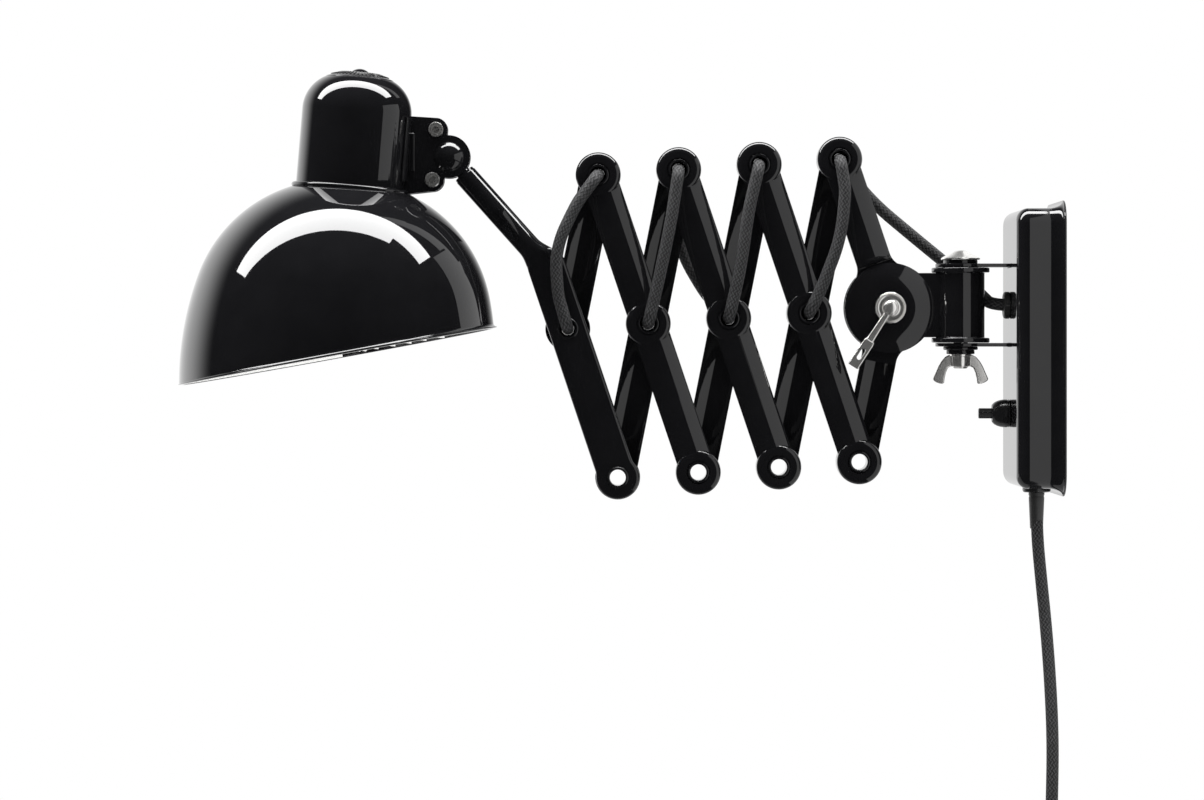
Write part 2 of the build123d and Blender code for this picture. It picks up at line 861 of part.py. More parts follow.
# Lampholder, hung from the top of the neck
holder_plane = Plane(origin=neck_foot, x_dir=neck_plane.x_dir, z_dir=front)
with BuildPart() as lampholder:
    with BuildSketch(holder_plane):
        with BuildLine():
            Polyline(
                (socket_radius, holder_foot),
                (holder_radius, holder_foot),
                (holder_radius, holder_top - 6),
                (nipple_radius + 4, holder_top),
                (nipple_radius, holder_top),
                (nipple_radius, neck_top - neck_wall),
                (0, neck_top - neck_wall),
                (0, holder_foot + socket_depth),
                (socket_radius, holder_foot + socket_depth),
                (socket_radius, holder_foot),
            )
        make_face()
    revolve(axis=Axis(neck_foot, neck_plane.z_dir))
save(lampholder, "lampholder")

# Bulb screwed into the lampholder
with BuildPart() as bulb:
    cap_top = holder_foot + socket_depth - 1
    cap_foot = cap_top - bulb_cap_length
    with BuildSketch(holder_plane):
        with BuildLine():
            Polyline(
                (0, -globe_drop - globe_radius),
                (0, cap_top),
                (bulb_cap_radius - 4, cap_top),
                (bulb_cap_radius, cap_top - 4),
                (bulb_cap_radius, cap_foot),
                (bulb_cap_radius + 0.1, cap_foot - 2),
            )
            shoulder_x = globe_radius * sin(radians(58))
            shoulder_y = -globe_drop + globe_radius * cos(radians(58))
            Spline(
                (bulb_cap_radius + 0.1, cap_foot - 2),
                (shoulder_x, shoulder_y),
                tangents=((0.1, -1), (cos(radians(58)), -sin(radians(58)))),
            )
            ThreePointArc(
                (shoulder_x, shoulder_y),
                (globe_radius * sin(radians(119)), -globe_drop + globe_radius * cos(radians(119))),
                (0, -globe_drop - globe_radius),
            )
        make_face()
    revolve(axis=Axis(neck_foot, neck_plane.z_dir))
    with Locations(neck_foot - neck_plane.z_dir * globe_drop):
        Sphere(globe_radius - globe_glass, mode=Mode.SUBTRACT)
save(bulb, "bulb")

# Inner lead of the head, from behind the ball to the top of the lampholder
lead_turn_x = -neck_back + (holder_radius + neck_radius) / 2
lead_route = [
    ball_centre - to_wall * (ball_radius / 2),
    ball_centre + to_wall * lead_turn_x,
    neck_foot + neck_plane.x_dir * ((holder_radius + neck_radius) / 2 - 3)
    + neck_plane.z_dir * (holder_top + 4),
    neck_foot + neck_plane.x_dir * nipple_radius + neck_plane.z_dir * (holder_top + 4),
]
cord_tube(
    "head_lead",
    [(place.X, place.Y, place.Z) for place in lead_route],
    lead_radius,
    {1: lead_bend, 2: lead_bend},
)

# Hinge barrel with its two end flanges
hinge_axis = Vector(hinge_axis_x, 0, hinge_axis_z)
with BuildPart() as hinge_barrel:
    with BuildSketch(Plane(origin=hinge_axis, x_dir=to_wall, z_dir=front)):
        with BuildLine():
            flange_top = barrel_half_height + barrel_flange
            Polyline(
                (hinge_bolt_radius + pivot_clearance, -flange_top),
                (barrel_flange_radius, -flange_top),
                (barrel_flange_radius, -barrel_half_height),
                (barrel_radius, -barrel_half_height),
                (barrel_radius, barrel_half_height),
                (barrel_flange_radius, barrel_half_height),
                (barrel_flange_radius, flange_top),
                (hinge_bolt_radius + pivot_clearance, flange_top),
                close=True,
            )
        make_face()
    revolve(axis=Axis(hinge_axis, up))
    rims = hinge_barrel.edges().filter_by(GeomType.CIRCLE)
    fillet(rims.filter_by(lambda edge: abs(edge.radius - barrel_flange_radius) < 0.01), radius=0.8)
save(hinge_barrel, "hinge_barrel")

# Outer form of the barrel, for trimming the cheeks
with BuildPart() as barrel_form:
    with BuildSketch(Plane(origin=hinge_axis - up * bar_length, x_dir=to_wall, z_dir=up)):
        Circle(barrel_radius)
    extrude(amount=2 * bar_length)


# Friction disc and lug that join the clamp to the barrel
def hinge_cheek(name, outward):
    inner = layer_gap + disc_bar_depth + cheek_gap
    centre = disc_axis + outward * inner
    lug_run = abs(hinge_axis_x - disc_axis_x)
    plane = side_plane(centre, to_wall, outward)
    with BuildPart() as cheek:
        revolve(
            domed_section(plane, cheek_radius, cheek_rim, cheek_flat, cheek_rise, 0),
            axis=Axis(centre, outward),
        )
        lining = domed_section(
            plane,
            cheek_radius - cheek_sheet,
            cheek_rim - cheek_sheet,
            cheek_flat,
            cheek_rise - cheek_sheet,
            -cheek_sheet,
        )
        revolve(lining, axis=Axis(centre, outward), mode=Mode.SUBTRACT)
        lug_middle = Vector(
            disc_axis_x + lug_root, centre.Y, hinge_axis_z
        )
        with BuildSketch(Plane(origin=lug_middle, x_dir=to_wall, z_dir=outward)):
            Rectangle(
                lug_run - lug_root,
                2 * (barrel_half_height - lug_margin),
                align=(Align.MIN, Align.CENTER),
            )
        extrude(amount=lug_thickness)
        add(barrel_form.part, mode=Mode.SUBTRACT)
        with BuildSketch(Plane(origin=centre, z_dir=outward)):
            Circle(clamp_bolt_radius + pivot_clearance)
        extrude(amount=cheek_rise, mode=Mode.SUBTRACT)
    save(cheek, name)
    return cheek


hinge_cheek("hinge_cheek_front", front)
hinge_cheek("hinge_cheek_rear", rear)

# Bracket: two straps out of the box, joined by a plate behind its front
flange_top = barrel_half_height + barrel_flange
strap_low = flange_top + hinge_gap
box_inner_x = -box_depth + box_wall
strap_run = abs(hinge_axis_x) - abs(box_inner_x)
with BuildPart() as hinge_bracket:
    for side in (1, -1):
        level = hinge_axis + up * side * strap_low
        with BuildSketch(Plane(origin=level, x_dir=to_wall, z_dir=up)):
            Circle(strap_end_radius)
            Rectangle(
                strap_run, 2 * strap_half_width, align=(Align.MIN, Align.CENTER)
            )
            Circle(hinge_bolt_radius + pivot_clearance, mode=Mode.SUBTRACT)
        extrude(amount=side * strap_thickness)
    plate_middle = Vector(box_inner_x, 0, hinge_axis_z)
    with BuildSketch(Plane(origin=plate_middle, x_dir=(0, 1, 0), z_dir=to_wall)):
        Rectangle(2 * strap_half_width, 2 * (strap_low + strap_thickness))
        Circle(grommet_inner + lead_clearance, mode=Mode.SUBTRACT)
    extrude(amount=bracket_plate)
save(hinge_bracket, "hinge_bracket")

# Hinge bolt with its mushroom head
head_foot = strap_low + strap_thickness + head_washer
stack_foot = strap_low + strap_thickness + lower_washer + lock_ring
with BuildPart() as hinge_bolt:
    with BuildSketch(Plane(origin=hinge_axis, x_dir=to_wall, z_dir=front)):
        with BuildLine():
            Polyline(
                (0, -stack_foot - wing_hub_height),
                (hinge_bolt_radius, -stack_foot - wing_hub_height),
                (hinge_bolt_radius, head_foot),
                (mushroom_radius, head_foot),
                (mushroom_radius, head_foot + mushroom_rim),
            )
            TangentArc(
                (0, head_foot + mushroom_height),
                (mushroom_radius, head_foot + mushroom_rim),
                tangent=(1, 0),
            )
            Line((0, head_foot + mushroom_height), (0, -stack_foot - wing_hub_height))
        make_face()
    revolve(axis=Axis(hinge_axis, up))
save(hinge_bolt, "hinge_bolt")

# Washers of the hinge bolt
with BuildPart() as hinge_washers:
    stack = [
        (strap_low + strap_thickness, head_washer, head_washer_radius),
        (-strap_low - strap_thickness - lower_washer, lower_washer, lower_washer_radius),
        (-stack_foot, lock_ring, lock_ring_radius),
    ]
    for level, thickness, radius in stack:
        with BuildSketch(Plane(origin=hinge_axis + up * level, z_dir=up)):
            Circle(radius)
            Circle(hinge_bolt_radius + pivot_clearance, mode=Mode.SUBTRACT)
        extrude(amount=thickness)
save(hinge_washers, "hinge_washers")

# Wing nut under the hinge
with BuildPart() as wing_nut:
    nut_top = hinge_axis - up * stack_foot
    with BuildSketch(Plane(origin=nut_top, x_dir=to_wall, z_dir=front)):
        for side in (1, -1):
            with BuildLine():
                Polyline(
                    (side * (hinge_bolt_radius + wing_root), -wing_inset),
                    (side * wing_hub_top, -wing_inset),
                    (side * wing_span, -wing_drop_outer),
                    (side * wing_tip_inner, -wing_drop_inner),
                    (side * (hinge_bolt_radius + wing_root), -wing_hub_height),
                    close=True,
                )
            make_face()
    extrude(amount=wing_thickness / 2, both=True)
    with BuildSketch(Plane(origin=nut_top, x_dir=to_wall, z_dir=front)):
        with BuildLine():
            Polyline(
                (hinge_bolt_radius + pivot_clearance, 0),
                (wing_hub_top, 0),
                (wing_hub_foot, -wing_hub_height),
                (hinge_bolt_radius + pivot_clearance, -wing_hub_height),
                close=True,
            )
        make_face()
    revolve(axis=Axis(nut_top, up))
save(wing_nut, "wing_nut")

# Clamp bolt through the discs
cheek_face = layer_gap + disc_bar_depth + cheek_gap + cheek_rise
cup_face = cheek_face + pivot_clearance
hub_foot = cup_face + cup_height
with BuildPart() as clamp_bolt:
    with BuildSketch(side_plane(disc_axis, to_wall, front)):
        with BuildLine():
            bolt_tip = hub_foot + lever_hub_height + 0.8
            head_low = -cheek_face - pivot_clearance
            Polyline(
                (0, bolt_tip),
                (clamp_bolt_radius - 0.8, bolt_tip),
                (clamp_bolt_radius, bolt_tip - 0.8),
                (clamp_bolt_radius, head_low),
                (clamp_head_radius, head_low),
                (clamp_head_radius, head_low - clamp_head_height / 2),
            )
            TangentArc(
                (0, head_low - clamp_head_height),
                (clamp_head_radius, head_low - clamp_head_height / 2),
                tangent=(1, 0),
            )
            Line((0, head_low - clamp_head_height), (0, bolt_tip))
        make_face()
    revolve(axis=Axis(disc_axis, front))
save(clamp_bolt, "clamp_bolt")

# Cupped washer under the clamp lever
with BuildPart() as clamp_washer:
    with BuildSketch(side_plane(disc_axis, to_wall, front)):
        with BuildLine():
            Polyline(
                (clamp_bolt_radius + pivot_clearance, cup_face),
                (cup_radius - 1.0, cup_face),
                (cup_radius, cup_face + 1.0),
                (cup_radius, cup_face + cup_height - 0.4),
                (cup_radius - cup_rim, cup_face + cup_height - 0.4),
                (cup_radius - cup_rim - 0.6, cup_face + 1.6),
                (lever_hub_radius + 0.4, cup_face + 1.4),
                (lever_hub_radius - 0.2, hub_foot),
                (clamp_bolt_radius + pivot_clearance, hub_foot),
                close=True,
            )
        make_face()
    revolve(axis=Axis(disc_axis, front))
save(clamp_washer, "clamp_washer")

# Clamp lever: threaded hub, stem and slotted grip
lever_down = Vector(-sin(radians(lever_angle)), 0, -cos(radians(lever_angle)))
lever_face = Plane(
    origin=disc_axis + front * (hub_foot + 0.9), x_dir=lever_down, z_dir=front
)
with BuildPart() as clamp_lever:
    with BuildSketch(lever_face) as outline:
        Rectangle(lever_stem, lever_stem_width, align=(Align.MIN, Align.CENTER))
        with Locations((lever_stem + lever_grip / 2, 0)):
            RectangleRounded(lever_grip, lever_grip_width, 2.2)
            SlotOverall(lever_grip * 0.46, lever_slot_width, mode=Mode.SUBTRACT)
    extrude(amount=lever_thickness)
    with BuildSketch(Plane(origin=disc_axis + front * hub_foot, z_dir=front)):
        Circle(lever_hub_radius)
    extrude(amount=lever_hub_height)
    rim = clamp_lever.faces().sort_by(Axis.Y)[0].edges()
    fillet(rim, radius=1.4)
    with BuildSketch(Plane(origin=disc_axis + front * hub_foot, z_dir=front)):
        Circle(clamp_bolt_radius + pivot_clearance)
    extrude(amount=lever_hub_height, mode=Mode.SUBTRACT)
save(clamp_lever, "clamp_lever")

# Space inside the wall box
with BuildPart() as box_cavity:
    with BuildSketch(Plane.YZ.offset(box_wall)):
        RectangleRounded(
            box_width - 2 * box_wall, box_height - 2 * box_wall, box_corner - box_wall
        )
    extrude(amount=-box_depth)
    front_rim = box_cavity.faces().sort_by(Axis.X)[0].edges()
    fillet(front_rim, radius=box_edge - box_wall)

# Wall box: pressed cover with a flared foot against the wall
switch_axis = Vector(-box_depth, 0, -switch_drop)
grommet_axis = Vector(-box_depth, 0, hinge_axis_z)
gland_axis = Vector(-gland_depth, 0, -box_height / 2)
cover_screw_places = [
    (Vector(-cover_screw_inset, 0, box_height / 2), up),
    (Vector(-cover_screw_inset, lower_tab_side, -box_height / 2), up * -1),
]
with BuildPart() as wall_box:
    with BuildSketch(Plane.YZ):
        RectangleRounded(box_width, box_height, box_corner)
    extrude(amount=-box_depth)
    front_rim = wall_box.faces().sort_by(Axis.X)[0].edges()
    fillet(front_rim, radius=box_edge)
    with BuildSketch(Plane.YZ):
        RectangleRounded(
            box_width + 2 * flange_reach, box_height + 2 * flange_reach, box_corner + flange_reach
        )
    extrude(amount=-flange_sheet)
    seam = wall_box.edges().filter_by(
        lambda edge: abs(edge.center().X + flange_sheet) < 0.01
        and abs(edge.center().Y) < box_width / 2 + 0.1
        and abs(edge.center().Z) < box_height / 2 + 0.1
    )
    fillet(seam, radius=flange_flare)
    add(box_cavity.part, mode=Mode.SUBTRACT)
    slot_height = strap_thickness + 2 * hinge_gap
    for side in (1, -1):
        level = hinge_axis_z + side * (strap_low + strap_thickness / 2)
        with BuildSketch(Plane(origin=(-box_depth, 0, level), x_dir=(0, 1, 0), z_dir=to_wall)):
            Rectangle(2 * strap_half_width + 2 * hinge_gap, slot_height)
        extrude(amount=box_wall, mode=Mode.SUBTRACT)
    with BuildSketch(Plane(origin=grommet_axis, z_dir=to_wall)):
        Circle(grommet_neck)
    extrude(amount=box_wall, mode=Mode.SUBTRACT)
    with BuildSketch(Plane(origin=switch_axis, z_dir=to_wall)):
        Circle(bush_radius + pivot_clearance)
    extrude(amount=box_wall, mode=Mode.SUBTRACT)
    with BuildSketch(Plane(origin=gland_axis, z_dir=up)):
        Circle(gland_neck)
    extrude(amount=box_wall, mode=Mode.SUBTRACT)
    for place, outward in cover_screw_places:
        with BuildSketch(Plane(origin=place, z_dir=outward * -1)):
            Circle(cover_screw_head)
        extrude(amount=box_wall, taper=40, mode=Mode.SUBTRACT)
        with BuildSketch(Plane(origin=place, z_dir=outward * -1)):
            Circle(cover_screw_shank + pivot_clearance)
        extrude(amount=box_wall, mode=Mode.SUBTRACT)
save(wall_box, "wall_box")

# Wall plate with two screw holes and two tabs for the cover screws
plate_half_width = box_width / 2 - box_wall - plate_clearance
plate_half_height = box_height / 2 - box_wall - plate_clearance
with BuildPart() as wall_plate:
    with BuildSketch(Plane.YZ):
        RectangleRounded(
            2 * plate_half_width, 2 * plate_half_height, box_corner - box_wall - plate_clearance
        )
        for side in (1, -1):
            with Locations((0, side * wall_screw_pitch / 2)):
                Circle(wall_screw_hole, mode=Mode.SUBTRACT)
    extrude(amount=-plate_thickness)
    for place, outward in cover_screw_places:
        root = Vector(0, place.Y, outward.Z * plate_half_height)
        with BuildSketch(Plane(origin=root, x_dir=(0, 1, 0), z_dir=(-1, 0, 0))):
            with Locations((0, outward.Z * tab_sheet / 2)):
                Rectangle(tab_width, tab_sheet)
        extrude(amount=tab_depth)
    for place, outward in cover_screw_places:
        with BuildSketch(Plane(origin=place, z_dir=outward * -1)):
            Circle(cover_screw_shank + pivot_clearance)
        extrude(amount=cover_screw_length, mode=Mode.SUBTRACT)
save(wall_plate, "wall_plate")

# Countersunk screws that hold the cover
with BuildPart() as cover_screws:
    for place, outward in cover_screw_places:
        with BuildSketch(Plane(origin=place, z_dir=outward * -1)):
            Circle(cover_screw_head - pivot_clearance)
        extrude(amount=box_wall, taper=40)
        with BuildSketch(Plane(origin=place, z_dir=outward * -1)):
            Circle(cover_screw_shank)
        extrude(amount=cover_screw_length)
save(cover_screws, "cover_screws")

# Grommet where the linkage cord enters the box
with BuildPart() as box_grommet:
    with BuildSketch(Plane(origin=grommet_axis, x_dir=to_wall * -1, z_dir=front)):
        with BuildLine():
            Polyline(
                (-box_wall, cord_radius + pivot_clearance),
                (-box_wall - grommet_lip, cord_radius + pivot_clearance),
                (-box_wall - grommet_lip, grommet_inner),
                (-box_wall, grommet_inner),
                (-box_wall, grommet_neck),
                (0, grommet_neck),
                (0, grommet_radius),
                (grommet_height * 0.4, grommet_radius),
            )
            ThreePointArc(
                (grommet_height * 0.4, grommet_radius),
                (grommet_height * 0.88, grommet_radius * 0.82),
                (grommet_height, grommet_radius * 0.6),
            )
            Polyline(
                (grommet_height, grommet_radius * 0.6),
                (grommet_height, cord_radius + pivot_clearance),
                (-box_wall, cord_radius + pivot_clearance),
            )
        make_face()
    revolve(axis=Axis(grommet_axis, to_wall))
save(box_grommet, "box_grommet")

# Push switch: collar outside, body inside, button through both
switch_plane = Plane(origin=switch_axis, x_dir=to_wall * -1, z_dir=front)
button_bore = button_radius + button_clearance
with BuildPart() as switch_collar:
    with BuildSketch(switch_plane):
        with BuildLine():
            Polyline((0, button_bore), (0, collar_base), (collar_reach * 0.25, collar_base))
            ThreePointArc(
                (collar_reach * 0.25, collar_base),
                (collar_reach * 0.66, collar_base * 0.90),
                (collar_reach, collar_tip),
            )
            Polyline((collar_reach, collar_tip), (collar_reach, button_bore), (0, button_bore))
        make_face()
    revolve(axis=Axis(switch_axis, to_wall))
save(switch_collar, "switch_collar")

with BuildPart() as switch_body:
    with BuildSketch(switch_plane):
        with BuildLine():
            Polyline(
                (0, button_bore),
                (0, bush_radius),
                (-box_wall, bush_radius),
                (-box_wall, switch_body_radius),
                (-box_wall - switch_body_length, switch_body_radius),
                (-box_wall - switch_body_length, 0),
                (-box_wall - button_travel - 2, 0),
                (-box_wall - button_travel - 2, button_bore),
                (0, button_bore),
            )
        make_face()
    revolve(axis=Axis(switch_axis, to_wall))
save(switch_body, "switch_body")

with BuildPart() as switch_button:
    button_tip = collar_reach + button_reach
    with BuildSketch(switch_plane):
        with BuildLine():
            Polyline(
                (button_tip, 0),
                (button_tip, button_radius - 0.6),
                (button_tip - 0.6, button_radius),
                (-box_wall - 1, button_radius),
                (-box_wall - 1, 0),
                close=True,
            )
        make_face()
    revolve(axis=Axis(switch_axis, to_wall))
save(switch_button, "switch_button")

# Terminal block on the wall plate
terminal_deep, terminal_wide, terminal_tall = terminal_size
with BuildPart() as terminal_block:
    block_origin = Vector(-plate_thickness, terminal_side, -terminal_drop)
    with BuildSketch(Plane(origin=block_origin, x_dir=(0, 1, 0), z_dir=(-1, 0, 0))):
        Rectangle(terminal_wide, terminal_tall)
    extrude(amount=terminal_deep)
    block_top = block_origin + Vector(-terminal_deep, 0, 0)
    with BuildSketch(Plane(origin=block_top, x_dir=(0, 1, 0), z_dir=(-1, 0, 0))):
        with GridLocations(terminal_wide / 2, terminal_tall / terminal_ways, 2, terminal_ways):
            Circle(terminal_wide / 10)
    extrude(amount=-terminal_deep / 2, mode=Mode.SUBTRACT)
save(terminal_block, "terminal_block")

# Gland under the box
with BuildPart() as cord_gland:
    with BuildSketch(Plane(origin=gland_axis, x_dir=to_wall, z_dir=front)):
        with BuildLine():
            Polyline(
                (0, -gland_height),
                (gland_radius - 1.2, -gland_height),
                (gland_radius, -gland_height + 1.2),
                (gland_radius, 0),
                (gland_neck, 0),
                (gland_neck, box_wall),
                (gland_nut, box_wall),
                (gland_nut, box_wall + gland_nut_height),
                (0, box_wall + gland_nut_height),
                close=True,
            )
        make_face()
    revolve(axis=Axis(gland_axis, up))
save(cord_gland, "cord_gland")

# Linkage cord, weaving through the rivets
for cell in range(1, cell_count + 1):
    held_stretch(
        f"cord_front_{cell}", top_pivots[cell], middle_pivots[cell], front, front_bows[cell]
    )
for cell in range(1, cell_count):
    held_stretch(
        f"cord_rear_{cell}", top_pivots[cell], middle_pivots[cell + 1], rear, rear_bows[cell]
    )

# Linkage cord from the last top pivot, behind the barrel, into the box
last_top = top_pivots[cell_count]
wall_route = [
    (last_top.X, 0.0, last_top.Z),
    (last_top.X, cord_plane, last_top.Z),
    (-118.0, 18.5, 95.0),
    (-95.5, 22.0, 76.5),
    (-75.5, 27.0, 60.5),
    (-58.0, 28.0, 46.5),
    (-46.5, 16.5, 34.0),
    (-42.8, 0.0, hinge_axis_z),
    (-box_depth + box_wall + grommet_lip + 3, 0.0, hinge_axis_z),
]


# Middle of one run of the wall route
def run_middle(index):
    middle = (Vector(*wall_route[index]) + Vector(*wall_route[index + 1])) * 0.5
    return (middle.X, middle.Y, middle.Z)


swing_join = run_middle(2)
tilt_join = run_middle(3)
cord_tube("cord_swing", wall_route[:3] + [swing_join], cord_radius, {1: cord_exit_radius})
cord_tube("cord_tilt", [swing_join, wall_route[3], tilt_join], cord_radius)
cord_tube("cord_swivel", [tilt_join] + wall_route[4:], cord_radius, {4: grommet_bend})

# Mains cord from the gland down to the coil
cord_tube("mains_cord", mains_route, cord_radius)

# Coil of the spare cord: in along the wall, over, and out again in front
coil_top = Vector(*mains_route[-1])
coil_centre = coil_top - up * coil_lead_in + rear * coil_radius
coil_outside = front
coil_down = up * -1
coil_off_wall = to_wall * -1


def coil_point(turns, radius, layer):
    around = (coil_outside * cos(turns * 2 * pi) + coil_down * sin(turns * 2 * pi)) * radius
    return coil_centre + around + coil_off_wall * layer * coil_pitch


def coil_heading(turns, climb):
    around = coil_down * cos(turns * 2 * pi) - coil_outside * sin(turns * 2 * pi)
    return (around + coil_off_wall * climb).normalized()


# Two tangent arcs that join two places with given headings
def biarc(start, heading, end, end_heading):
    chord = end - start
    total = heading + end_heading
    rate = 2 * (1 - heading.dot(end_heading))
    middle = chord.dot(total)
    reach = (sqrt(middle * middle + rate * chord.dot(chord)) - middle) / rate
    joint = (start + heading * reach + end - end_heading * reach) * 0.5
    first = TangentArc(start, joint, tangent=heading)
    second = TangentArc(joint, end, tangent=first % 1)
    return [first, second]


inner_radius = coil_radius - coil_half_turns * coil_pitch / 2
knots = []
for step in range(coil_half_turns + 1):
    knots.append((step / 2, coil_radius - step * coil_pitch / 2, 0.0, 0.0))
climb_slope = 1.5 * coil_pitch / (pi * inner_radius)
knots.append((coil_half_turns / 2 + 0.25, inner_radius - coil_pitch / 4, 0.5, climb_slope))
for step in range(coil_half_turns + 2):
    knots.append(
        ((coil_half_turns + 1 + step) / 2, inner_radius + step * coil_pitch / 2, 1.0, 0.0)
    )
samples = []
with BuildPart() as cord_coil:
    with BuildLine() as windings:
        Line(coil_top, coil_point(0, coil_radius, 0))
        for knot, following in zip(knots, knots[1:]):
            arcs = biarc(
                coil_point(*knot[:3]),
                coil_heading(knot[0], knot[3]),
                coil_point(*following[:3]),
                coil_heading(following[0], following[3]),
            )
            for arc in arcs:
                samples.extend(arc @ (share / 12) for share in range(12))
        coil_end = coil_point(*knots[-1][:3])
        Line(coil_end, coil_end - up * coil_lead_in)
    with BuildSketch(Plane(origin=coil_top, z_dir=coil_down)):
        Circle(cord_radius)
    sweep()
save(cord_coil, "cord_coil")

# Least gap of the coil to itself, measured between points that aren't neighbours along it
coil_length = windings.wire().length
spacing = coil_length / len(samples)
apart = int(4 * 2 * cord_radius / spacing) + 1
least = min(
    (here - there).length
    for index, here in enumerate(samples)
    for there in samples[index + apart:]
)
print("cord_coil gap", round(least - 2 * cord_radius, 2), "length", round(coil_length, 1))

# Tie round all the turns, on the side away from the incoming cord
tie_outer_reach = coil_radius + cord_radius + tie_slack
tie_inner_reach = inner_radius - cord_radius - 2 * tie_slack
tie_depth = coil_pitch + 2 * cord_radius + tie_slack
with BuildPart() as cord_tie:
    tie_middle = coil_centre + rear * (tie_outer_reach + tie_inner_reach) / 2
    tie_middle = tie_middle + coil_off_wall * coil_pitch / 2 - up * tie_width / 2
    with BuildSketch(Plane(origin=tie_middle, x_dir=to_wall, z_dir=up)):
        RectangleRounded(
            tie_depth + 2 * tie_thickness,
            tie_outer_reach - tie_inner_reach + 2 * tie_thickness,
            2 * tie_thickness,
        )
        RectangleRounded(
            tie_depth, tie_outer_reach - tie_inner_reach, tie_thickness, mode=Mode.SUBTRACT
        )
    extrude(amount=tie_width)
save(cord_tie, "cord_tie")

# Flat two-pin plug at the end of the cord
plug_start = coil_end - up * coil_lead_in
with BuildPart() as plug:
    with BuildSketch(Plane(origin=plug_start, z_dir=coil_down)):
        Circle(cord_radius + 0.4)
    with BuildSketch(Plane(origin=plug_start - up * plug_relief, z_dir=coil_down)):
        Circle(plug_relief_radius)
    loft()
    body_start = plug_start - up * plug_relief
    with BuildSketch(Plane(origin=body_start, x_dir=to_wall, z_dir=coil_down)):
        RectangleRounded(plug_neck_width, plug_thickness, plug_edge)
    with BuildSketch(
        Plane(origin=body_start - up * plug_length, x_dir=to_wall, z_dir=coil_down)
    ):
        RectangleRounded(plug_width, plug_thickness, plug_edge)
    loft()
save(plug, "plug")

with BuildPart() as plug_pins:
    pin_start = body_start - up * plug_length
    with BuildSketch(Plane(origin=pin_start, x_dir=to_wall, z_dir=coil_down)):
        with GridLocations(pin_pitch, pin_pitch, 2, 1):
            Circle(pin_radius)
    extrude(amount=pin_length)
save(plug_pins, "plug_pins")

print("disc axis", disc_axis, "hinge axis", hinge_axis)
print("ball", ball_centre, "rod direction", rod_up, "rim centre", rim_centre)
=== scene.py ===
import bpy
from math import acos, asin, atan2, cos, degrees, pi, radians, sin, sqrt
from mathutils import Matrix, Vector


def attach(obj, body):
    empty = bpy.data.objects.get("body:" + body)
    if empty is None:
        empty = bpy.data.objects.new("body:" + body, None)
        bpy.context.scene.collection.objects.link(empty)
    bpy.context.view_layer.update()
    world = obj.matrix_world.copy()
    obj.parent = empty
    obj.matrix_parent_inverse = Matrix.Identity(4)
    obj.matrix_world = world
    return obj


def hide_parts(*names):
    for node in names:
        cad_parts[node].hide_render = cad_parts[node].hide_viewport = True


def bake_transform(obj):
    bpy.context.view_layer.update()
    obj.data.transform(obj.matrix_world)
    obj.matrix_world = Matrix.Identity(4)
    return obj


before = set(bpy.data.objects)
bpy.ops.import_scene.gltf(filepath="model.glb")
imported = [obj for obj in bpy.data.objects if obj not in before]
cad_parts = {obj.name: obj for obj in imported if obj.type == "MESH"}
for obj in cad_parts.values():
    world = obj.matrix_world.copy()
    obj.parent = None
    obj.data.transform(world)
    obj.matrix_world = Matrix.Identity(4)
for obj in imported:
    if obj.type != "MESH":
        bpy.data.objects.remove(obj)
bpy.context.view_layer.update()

# All sizes are in millimetres, and each piece is brought to metres when it is put in place
toView = Vector((0, -1, 0))
toRear = Vector((0, 1, 0))
up = Vector((0, 0, 1))
toWall = Vector((1, 0, 0))


# unit direction in the side view, leaning from upright towards the head
def lean(angle):
    return Vector((-sin(radians(angle)), 0, cos(radians(angle))))


linkage = {
    "barLength": 205.0,
    "halfAngle": 14.9,
    "droop": 3.7,
    "cells": 4,
    "layerGap": 0.25,
    "disc": Vector((-110.0, 0, 26.5)),
}
frontUp = lean(linkage["halfAngle"] + linkage["droop"])
rearUp = lean(linkage["droop"] - linkage["halfAngle"])
halfBar = linkage["barLength"] / 2
discAxis = linkage["disc"]
cellStep = (frontUp - rearUp) * halfBar
topPivot = {}
middlePivot = {}
bottomPivot = {}
for cell in range(1, linkage["cells"] + 1):
    topPivot[cell] = discAxis + frontUp * halfBar + cellStep * (linkage["cells"] - cell)
    middlePivot[cell] = topPivot[cell] - rearUp * halfBar
    bottomPivot[cell] = middlePivot[cell] - frontUp * halfBar

hingeAxis = Vector((-63.2, 0, 28.3))
armSizes = {
    "width": 25.0,
    "depth": 9.0,
    "edge": 2.4,
    "footRadius": 14.2,
    "bendRise": 43.0,
    "bendAngle": 23.2,
    "flatWidth": 24.0,
    "taper": 18.0,
    "rodLength": 95.8,
    "rodRadius": 7.6,
    "rodGap": 15.8,
}
headOffset = toView * (linkage["layerGap"] + armSizes["depth"] / 2)
bendPoint = middlePivot[1] + frontUp * armSizes["bendRise"] + headOffset
rodUp = lean(linkage["halfAngle"] + linkage["droop"] + armSizes["bendAngle"])
ballCentre = bendPoint + rodUp * armSizes["rodLength"]


# camera


